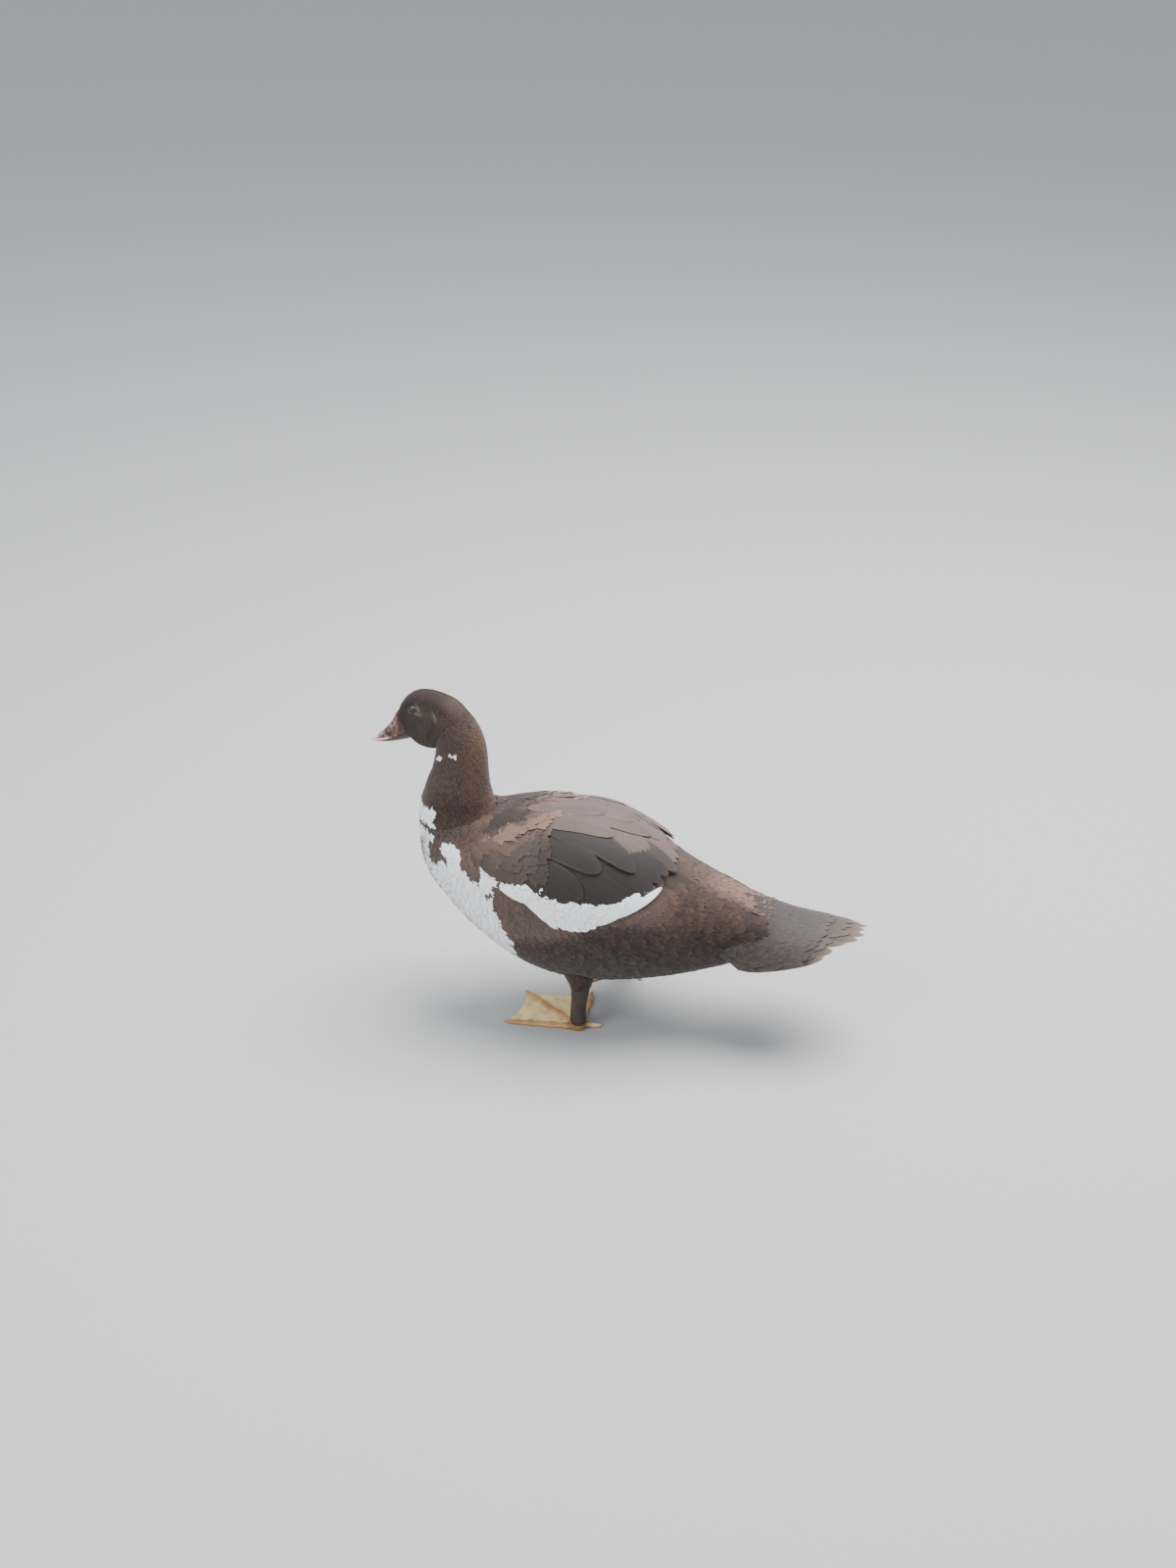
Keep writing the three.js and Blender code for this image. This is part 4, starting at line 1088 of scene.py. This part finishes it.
# Soft coverts over the tail's root, longer towards its end.
for row, start in enumerate(np.arange(150, 246, 5.0)):
    count = 18
    column = (np.arange(count) + 0.5 * (row % 2)) / (count - 0.5)
    across = column * 1.9 - 0.95 + tail_coat.random.normal(0, 0.02, count)
    start = start - 0.3 * max(start - 200, 0) * across ** 2 + tail_coat.random.uniform(-3, 3, count)
    reach = np.interp(start, [150, 200, 262], [26, 34, 46]) * tail_coat.random.uniform(0.85, 1.15, count)
    tail_coat.add(tail, "tail", tail_along(start), across, (reach, np.interp(start, [150, 262], [6.5, 9])),
                  BODY_VANE, lift=(-1.4, tail_coat.random.uniform(0, 0.6, count)), thick=0.25, camber=0.3,
                  ragged=0.3, color=tail_color(0.12), turn=tail_coat.random.normal(0, 0.08, count),
                  snap=False)
tail_gloss = plumage_material("tail_feather", 0.65, 0.08, 110)
tail_piece = tail_coat.piece("tail_feathers", tail_gloss, "tail_feather")
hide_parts("tail")

# Eyes and lids
# A wet, nearly black eye, a ball sunk in the head, between two leathery lids that lie round it as a
# flattened ring.
EYE_RADIUS = 5.6
EYE_SUNK = 0.5
LID_RING = 0.0045
LID_THICK = 0.0009
LID_OUT = 3.5
IRIS = srgb(40, 26, 20)
LID_BROWN = srgb(50, 41, 37)


def eye_material(name, pupil_point):
    material = new_material(name, IRIS, 0.22)
    tree = material.node_tree
    place = node(tree, "ShaderNodeTexCoord")
    distance = node(tree, "ShaderNodeVectorMath", {0: place.outputs["Object"], 1: pupil_point},
                    operation="DISTANCE")
    scale = node(tree, "ShaderNodeMath", {0: distance.outputs["Value"], 1: 150}, operation="MULTIPLY")
    ramp = node(tree, "ShaderNodeValToRGB", {"Fac": scale.outputs[0]})
    dark, brown = ramp.color_ramp.elements
    dark.position, dark.color = 0.42, (0.004, 0.003, 0.003, 1)
    brown.position, brown.color = 0.52, (*IRIS, 1)
    feed(tree, tree.nodes["Principled BSDF"], {"Base Color": ramp.outputs["Color"], "Coat Weight": 0.1})
    return material


def leathery(name, color, dark, scale, roughness=0.6, depth=0.0003, marked=False):
    """Bare skin with small scales; marked skin takes its main colour from the piece's own marks."""
    material = new_material(name, color, roughness)
    tree = material.node_tree
    main, dark_share = (*color, 1), 1
    if marked:
        main, dark_share = node(tree, "ShaderNodeVertexColor", layer_name="plumage").outputs["Color"], 0.45
    place = node(tree, "ShaderNodeTexCoord").outputs["Object"]
    cells = node(tree, "ShaderNodeTexVoronoi", {"Vector": place, "Scale": scale},
                 feature="DISTANCE_TO_EDGE")
    noise = node(tree, "ShaderNodeTexNoise", {"Vector": place, "Scale": scale / 9, "Detail": 5})
    ramp = node(tree, "ShaderNodeMapRange", {"Value": noise.outputs["Fac"], "From Min": 0.42,
                                             "From Max": 0.72, "To Max": dark_share})
    mix = node(tree, "ShaderNodeMix", {"Factor": ramp.outputs[0], "A": main, "B": (*dark, 1)},
               data_type="RGBA")
    bump = node(tree, "ShaderNodeBump", {"Height": cells.outputs["Distance"], "Strength": 0.6,
                                         "Distance": depth})
    feed(tree, tree.nodes["Principled BSDF"], {"Base Color": mix.outputs["Result"],
                                               "Normal": bump.outputs["Normal"]})
    return material


lid_skin = leathery("lid_skin", LID_BROWN, srgb(38, 31, 29), 1400, 0.6, 0.0002)
for side in (LEFT, RIGHT):
    name = SIDE_NAMES[side]
    outward = np.array([0.22, side, 0.12]) / np.linalg.norm([0.22, 1, 0.12])
    centre = (EYE - [0, EYE_SUNK, 0]) * [1, side, 1]
    world_centre = carried(HEAD_FRAME, centre[None])[0]
    world_outward = HEAD_FRAME[:3, :3] @ outward
    turn = Vector(world_outward).to_track_quat("Z", "Y").to_matrix().to_4x4()
    bpy.ops.mesh.primitive_uv_sphere_add(segments=48, ring_count=24, radius=EYE_RADIUS / 1000)
    eye = bpy.context.object
    eye.name = f"eyeball_{name}"
    eye.data.transform(Matrix.Translation(metres(world_centre)) @ turn)
    bpy.ops.object.shade_smooth()
    pupil = metres(world_centre + world_outward * EYE_RADIUS)
    eye.data.materials.append(eye_material(f"eye_{name}_wet", pupil))
    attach(eye, "root")
    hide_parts(f"eye_{name}")
    bpy.ops.mesh.primitive_torus_add(major_radius=LID_RING, minor_radius=LID_THICK, major_segments=56,
                                     minor_segments=14)
    lids = bpy.context.object
    lids.name = f"lids_{name}"
    lid_points = np.array([v.co for v in lids.data.vertices])
    ring_angle = np.arctan2(lid_points[:, 1], lid_points[:, 0])
    lid_points[:, 0] *= 1.08
    lid_points[:, 1] *= 0.94
    lid_points[:, 2] -= 0.0008 * np.cos(ring_angle) ** 2
    lids.data.vertices.foreach_set("co", lid_points.ravel())
    rim = metres(world_centre + world_outward * LID_OUT)
    head_up = HEAD_FRAME[:3, :3] @ np.array([0, 0, 1.0])
    across = np.cross(head_up, world_outward)
    axes = np.column_stack([across / np.linalg.norm(across), np.cross(world_outward, across), world_outward])
    lids.data.transform(Matrix.Translation(rim) @ Matrix(axes.tolist()).to_4x4())
    bpy.ops.object.shade_smooth()
    lids.data.materials.append(lid_skin)
    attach(lids, "root")

# Bill
# Horn in two halves over a curved mouth line: the upper one high at its root and flat at the tip, with
# a nostril on each side and a hard nail, the lower one a thin tray under it.
BILL_UPPER = [[-10, 24, 10.5], [-3, 27.4, 11.6], [5, 25.6, 12], [12, 21.2, 11.6], [20, 16.8, 10.8],
              [29, 12.3, 10.4], [38, 8.2, 10.8], [46, 5.2, 10.2], [51, 3.6, 8], [55, 2.4, 4.6],
              [57.2, 1.4, 1.4]]
BILL_LOWER = [[-10, 8, 8.6], [0, 8.6, 10.2], [12, 6.8, 10.2], [26, 5, 9.4], [40, 3.4, 9.4], [47, 2.4, 7.6],
              [52, 1.4, 4], [54, 0.8, 1.2]]
BILL_PINK = srgb(238, 206, 198)
BILL_TAN = srgb(126, 90, 78)
BILL_BROWN = srgb(58, 38, 32)
BILL_RED = srgb(108, 52, 40)
BILL_SHADE_DARK = srgb(30, 20, 19)
NOSTRIL = np.array([14.6, 8.4, 13.2])


def mouth_line(x):
    return -2.0 * np.sin(np.pi * np.clip(x / 46, 0, 1))


def bill_rings(rows, upper):
    stations = smooth_rows(rows, 90)
    x, high, wide = stations[:, 0:1], stations[:, 1:2], stations[:, 2:3]
    over = np.linspace(0, np.pi, 41)[None]
    sharp = 1.0 + 0.35 * (1 - np.clip(x / 30, 0, 1))
    over_y = wide * np.cos(over)
    over_z = high * np.abs(np.sin(over)) ** sharp
    back = np.linspace(-1, 1, 15)[None, 1:-1]
    back_y = wide * 0.96 * back
    back_z = 0.5 * (1 - back ** 2) + 0 * x
    line = mouth_line(x)
    y = np.concatenate([over_y, back_y], 1)
    z = np.concatenate([over_z, back_z], 1)
    if not upper:
        z = -z - 0.35
    return np.stack([np.broadcast_to(x, y.shape), y, z + line], -1)


upper_rings = bill_rings(BILL_UPPER, True)
for side in (LEFT, RIGHT):
    offset = upper_rings - NOSTRIL * [1, side, 1]
    pit = np.exp(-(offset[..., 0] / 2.6) ** 2 - (offset[..., 2] / 1.5) ** 2)
    pit *= np.exp(-(offset[..., 1] / 4) ** 2)
    upper_rings[..., 1] -= side * 2.4 * pit
nail = np.clip((upper_rings[..., 0] - 46) / 6, 0, 1) * np.clip(1 - np.abs(upper_rings[..., 1]) / 5.5, 0, 1)
over_mouth = upper_rings[..., 2] > mouth_line(upper_rings[..., 0]) + 0.8
upper_rings[..., 2] += 0.7 * np.minimum(nail * 2, 1) * over_mouth


def bill_material(name):
    """Pink horn under brown mottling; the piece's marks give the pink and how much brown lies on it."""
    material = new_material(name, BILL_PINK, 0.42)
    tree = material.node_tree
    base = node(tree, "ShaderNodeVertexColor", layer_name="plumage")
    place = node(tree, "ShaderNodeTexCoord")
    noise = node(tree, "ShaderNodeTexNoise", {"Vector": place.outputs["Object"], "Scale": 170,
                                              "Detail": 6, "Roughness": 0.6})
    ramp = node(tree, "ShaderNodeMapRange", {"Value": noise.outputs["Fac"], "From Min": 0.40,
                                             "From Max": 0.56})
    brown = node(tree, "ShaderNodeMath", {0: ramp.outputs[0], 1: base.outputs["Alpha"]},
                 operation="MULTIPLY")
    mix = node(tree, "ShaderNodeMix", {"Factor": brown.outputs[0], "A": base.outputs["Color"],
                                       "B": (*BILL_BROWN, 1)}, data_type="RGBA")
    bump = node(tree, "ShaderNodeBump", {"Height": noise.outputs["Fac"], "Strength": 0.25,
                                         "Distance": 0.0004})
    feed(tree, tree.nodes["Principled BSDF"], {"Base Color": mix.outputs["Result"],
                                               "Normal": bump.outputs["Normal"]})
    return material


for name, rings, flip in (("bill_upper_horn", upper_rings, False),
                          ("bill_lower_horn", bill_rings(BILL_LOWER, False), True)):
    piece = tube_object(name, carried(BILL_FRAME, rings), flip)
    local = carried(np.linalg.inv(BILL_FRAME), millimetres(piece))
    height = local[:, 2] - mouth_line(local[:, 0])
    color = towards(BILL_TAN, BILL_PINK, eased(local[:, 0], 24, 44))
    color = towards(color, BILL_RED, 0.8 * (1 - eased(local[:, 0], 1, 6)))
    share = 1 - 0.8 * eased(local[:, 0], 30, 50)[:, 0]
    if name.startswith("bill_upper"):
        rim = 1 - eased(height, 1.2, 3.0)
        color = towards(color, BILL_PINK, rim * eased(local[:, 0], 14, 30))
        share = share * (1 - 0.85 * rim * eased(local[:, 0], 14, 30))[:, 0]
        for side in (LEFT, RIGHT):
            offset = local - NOSTRIL * [1, side, 1]
            near = np.exp(-(offset[:, 0] / 6) ** 2 - (offset[:, 2] / 3.4) ** 2 - (offset[:, 1] / 6) ** 2)
            color = towards(color, BILL_PINK, 0.6 * near[:, None])
            share = share * (1 - 0.8 * near)
            # Painted shade in the nostril's hollow.
            nostril_shade = np.exp(-(offset[:, 0] / 2.6) ** 2 - (offset[:, 2] / 1.3) ** 2 - (offset[:, 1] / 5) ** 2)
            color = towards(color, BILL_SHADE_DARK, np.clip(nostril_shade * 2.2, 0, 1)[:, None])
    else:
        # Painted shade under the upper bill: the lower one is dark except near its tip.
        color = towards(color, BILL_SHADE_DARK, 0.85 * (1 - eased(local[:, 0], 34, 54)))
    paint(piece, color, share)
    piece.data.materials.append(bill_material(f"{name}_finish"))
    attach(piece, "root")
    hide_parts(name[:-5])

# Legs and feet
# A dark scaly shank on a broad webbed foot. Three toes spread the web, and a short one stands behind. The
# foot's pieces are melted into one and flattened at the sole, and each claw is horn of its own.
TARSUS_ROWS = [[0, 8, 8.2, 8.2, 0], [0, 14, 9.4, 9.2, 0], [0.1, 26, 9, 8.6, 0], [0.2, 38, 9.2, 8.8, 1],
               [0.32, 50, 10.4, 10, 2], [0.45, 62, 9.6, 9.6, 3]]
FOOT_TURN = {LEFT: -40, RIGHT: 8}
TOES = {"inner": (75, 4.6), "middle": (97, 5.0), "outer": (83, 4.8)}
TOE_TURN = {LEFT: {"inner": 50, "middle": 0, "outer": -43}, RIGHT: {"inner": 30, "middle": 0, "outer": -30}}
TOE_SWELL = [(0, 1.25), (0.12, 1.35), (0.3, 1.0), (0.38, 1.22), (0.48, 0.98), (0.62, 0.95), (0.68, 1.14),
             (0.76, 0.9), (0.88, 0.92), (0.97, 0.72), (1, 0.3)]
CLAW_LENGTH = 4.5
FOOT_VOXEL = 0.0007
SOLE = 0.05
CLAW_ROOT = 3
CLAW_ROWS = [(0, 2.8, 2, 1.9), (0.4, 3.4, 1.8, 1.6), (0.7, 3.1, 1.4, 1.2), (0.88, 2.4, 0.8, 0.7),
             (1, 1.6, 0.25, 0.25)]
SHANK_DARK = srgb(46, 42, 40)
TOE_ORANGE = srgb(214, 162, 98)
TOE_DIRT = srgb(136, 90, 52)
WEB_YELLOW = srgb(250, 222, 154)
CLAW_HORN = srgb(176, 148, 112)


def foot_frame(side):
    heel_x, heel_y = HEELS[side]
    return np.array(Matrix.Translation((heel_x, heel_y, 0))) @ rotation("Z", 180 + FOOT_TURN[side])


def toe_direction(side, toe):
    heading = np.radians(-side * TOE_TURN[side][toe])
    return np.array([np.cos(heading), np.sin(heading), 0])


def toe_form(side, toe):
    length, thick = TOES[toe]
    ahead = toe_direction(side, toe)
    rows = []
    for share, swell in TOE_SWELL:
        x, y, _ = ahead * share * length
        rows.append([x, y, thick * 0.52 * swell, thick * 0.58 * swell, thick * 0.8 * swell])
    return swept(rows, BIRD_LEFT, False, foot_frame(side), count=120, around=33)


def scuted(form, rings, around, step, depth):
    """A form with shallow rings across it, as scutes on a toe or a shank."""
    s, angle = np.meshgrid(np.linspace(0.3, form.length - 0.3, rings),
                           np.arange(around) * 2 * np.pi / around, indexing="ij")
    groove = depth * (np.abs(np.sin(np.pi * s / step)) ** 0.5 - 1)
    return form.at(s, angle, groove)


def web_sheet(side, first, second):
    """The skin between two toes, thickest near the heel and scalloped at its front edge."""
    a, b = (toe_direction(side, toe) * TOES[toe][0] * 0.985 for toe in (first, second))
    u, v = np.meshgrid(np.linspace(0, 1, 28), np.linspace(0, 1, 26), indexing="ij")
    scallop = 1 - 0.05 * np.sin(np.pi * u)
    flat = (a * (1 - u[..., None]) + b * u[..., None]) * (v * scallop)[..., None]
    fold = 0.35 * np.sin(u * 5 * np.pi) * v + 0.5 * np.sin(np.pi * u)
    top = flat + np.stack([0 * u, 0 * u, 2.6 - 0.6 * v + fold * v], -1)
    low = flat + np.stack([0 * u, 0 * u, 0.7 + 0 * v], -1)
    return top, low


def web_piece(side, first, second):
    top, low = (carried(foot_frame(side), grid) for grid in web_sheet(side, first, second))
    rows, columns = top.shape[:2]
    grid = np.arange(rows * columns).reshape(rows, columns)
    upper = np.stack([grid[:-1, :-1], grid[:-1, 1:], grid[1:, 1:], grid[1:, :-1]], -1).reshape(-1, 4)
    rim = np.concatenate([grid[0, :-1], grid[:-1, -1], grid[-1, :0:-1], grid[:0:-1, 0]])
    after = np.roll(rim, -1)
    offset = rows * columns
    wall = np.stack([rim, after, after + offset, rim + offset], -1)
    return new_object("web", np.concatenate([top.reshape(-1, 3), low.reshape(-1, 3)]),
                      np.concatenate([upper, upper[:, ::-1] + offset, wall]))


def heel_pieces(side):
    """The short hind toe, and the heel in which shank and toes meet."""
    hallux = [[4, 0, 7, 5, 5], [-5, -6 * side, 7, 3.6, 3.4], [-10, -13 * side, 5, 3, 2.8],
              [-14, -20 * side, 4, 2, 1.8], [-15, -22 * side, 3.6, 0.6, 0.6]]
    heel = [[1, 0, 1, 7, 7.5], [0, 0, 6, 8, 8.2], [0, 0, 12, 7.6, 7.8], [0, 0, 18, 7, 7]]
    forms = [swept(rows, BIRD_LEFT, False, foot_frame(side), count=60, around=33) for rows in (hallux, heel)]
    return [tube_object("toe", scuted(form, 50, 24, 3, 0.3)) for form in forms]


def foot_marks(side, points):
    """Orange toes on a yellow web, dirty along the toes and dark towards the shank."""
    local = carried(np.linalg.inv(foot_frame(side)), points)
    reach = np.hypot(local[:, 0], local[:, 1])
    near_toe = np.full(len(local), 1e9)
    for toe, (length, _) in TOES.items():
        ahead = toe_direction(side, toe)
        along = np.clip(local @ ahead, 0, length)
        near_toe = np.minimum(near_toe, np.linalg.norm((local - along[:, None] * ahead)[:, :2], axis=1))
    color = towards(TOE_ORANGE, WEB_YELLOW, eased(near_toe, 3.5, 6.5))
    dirty = (1 - eased(near_toe, 2, 6)) * eased(wobble(local, 7, 3), -0.4, 0.8)
    color = towards(color, TOE_DIRT, 0.55 * dirty)
    color = towards(color, TOE_DIRT, 0.9 * (1 - eased(reach, 9, 20)))
    return towards(color, SHANK_DARK, 0.85 * eased(local[:, 2] + 0.3 * wobble(local, 5, 4), 7, 14))


def claw_rings(side, toe):
    ahead = toe_direction(side, toe)
    rows = []
    for share, z, high, wide in CLAW_ROWS:
        x, y, _ = ahead * (TOES[toe][0] - CLAW_ROOT + share * (CLAW_LENGTH + CLAW_ROOT))
        rows.append([x, y, z, high, wide])
    form = swept(rows, BIRD_LEFT, False, foot_frame(side), count=40, around=25)
    s, angle = np.meshgrid(np.linspace(0.1, form.length - 0.05, 28), np.arange(20) * np.pi / 10,
                           indexing="ij")
    return form.at(s, angle, np.zeros(s.shape))


for side in (LEFT, RIGHT):
    name = SIDE_NAMES[side]
    parts = [tube_object("toe", scuted(toe_form(side, toe), 110, 24, 3.4, 0.5)) for toe in TOES]
    parts += [web_piece(side, "inner", "middle"), web_piece(side, "middle", "outer")]
    foot = melted(f"foot_{name}_skin", parts + heel_pieces(side), FOOT_VOXEL, 2)
    foot_points = millimetres(foot)
    foot_points[:, 2] = np.maximum(foot_points[:, 2], SOLE)
    foot.data.vertices.foreach_set("co", metres(foot_points).ravel())
    paint(foot, foot_marks(side, foot_points))
    foot.data.materials.append(leathery(f"foot_{name}_finish", WEB_YELLOW, TOE_DIRT, 900, 0.5, marked=True))
    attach(foot, "root")
    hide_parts(f"foot_{name}")

    shank = tube_object(f"shank_{name}", scuted(leg_form(side, TARSUS_ROWS, 120), 130, 48, 4.2, 0.45))
    shank.data.materials.append(leathery(f"shank_{name}_finish", SHANK_DARK, srgb(78, 58, 40), 700, 0.55,
                                         0.0006))
    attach(shank, "root")
    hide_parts(f"tarsus_{name}")

    for toe in TOES:
        claw = tube_object(f"nail_{name}_{toe}", claw_rings(side, toe))
        claw.data.materials.append(leathery(f"nail_{name}_{toe}_finish", CLAW_HORN, srgb(120, 92, 66), 260,
                                            0.4, 0.0001))
        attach(claw, "root")
        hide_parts(f"claw_{name}_{toe}")
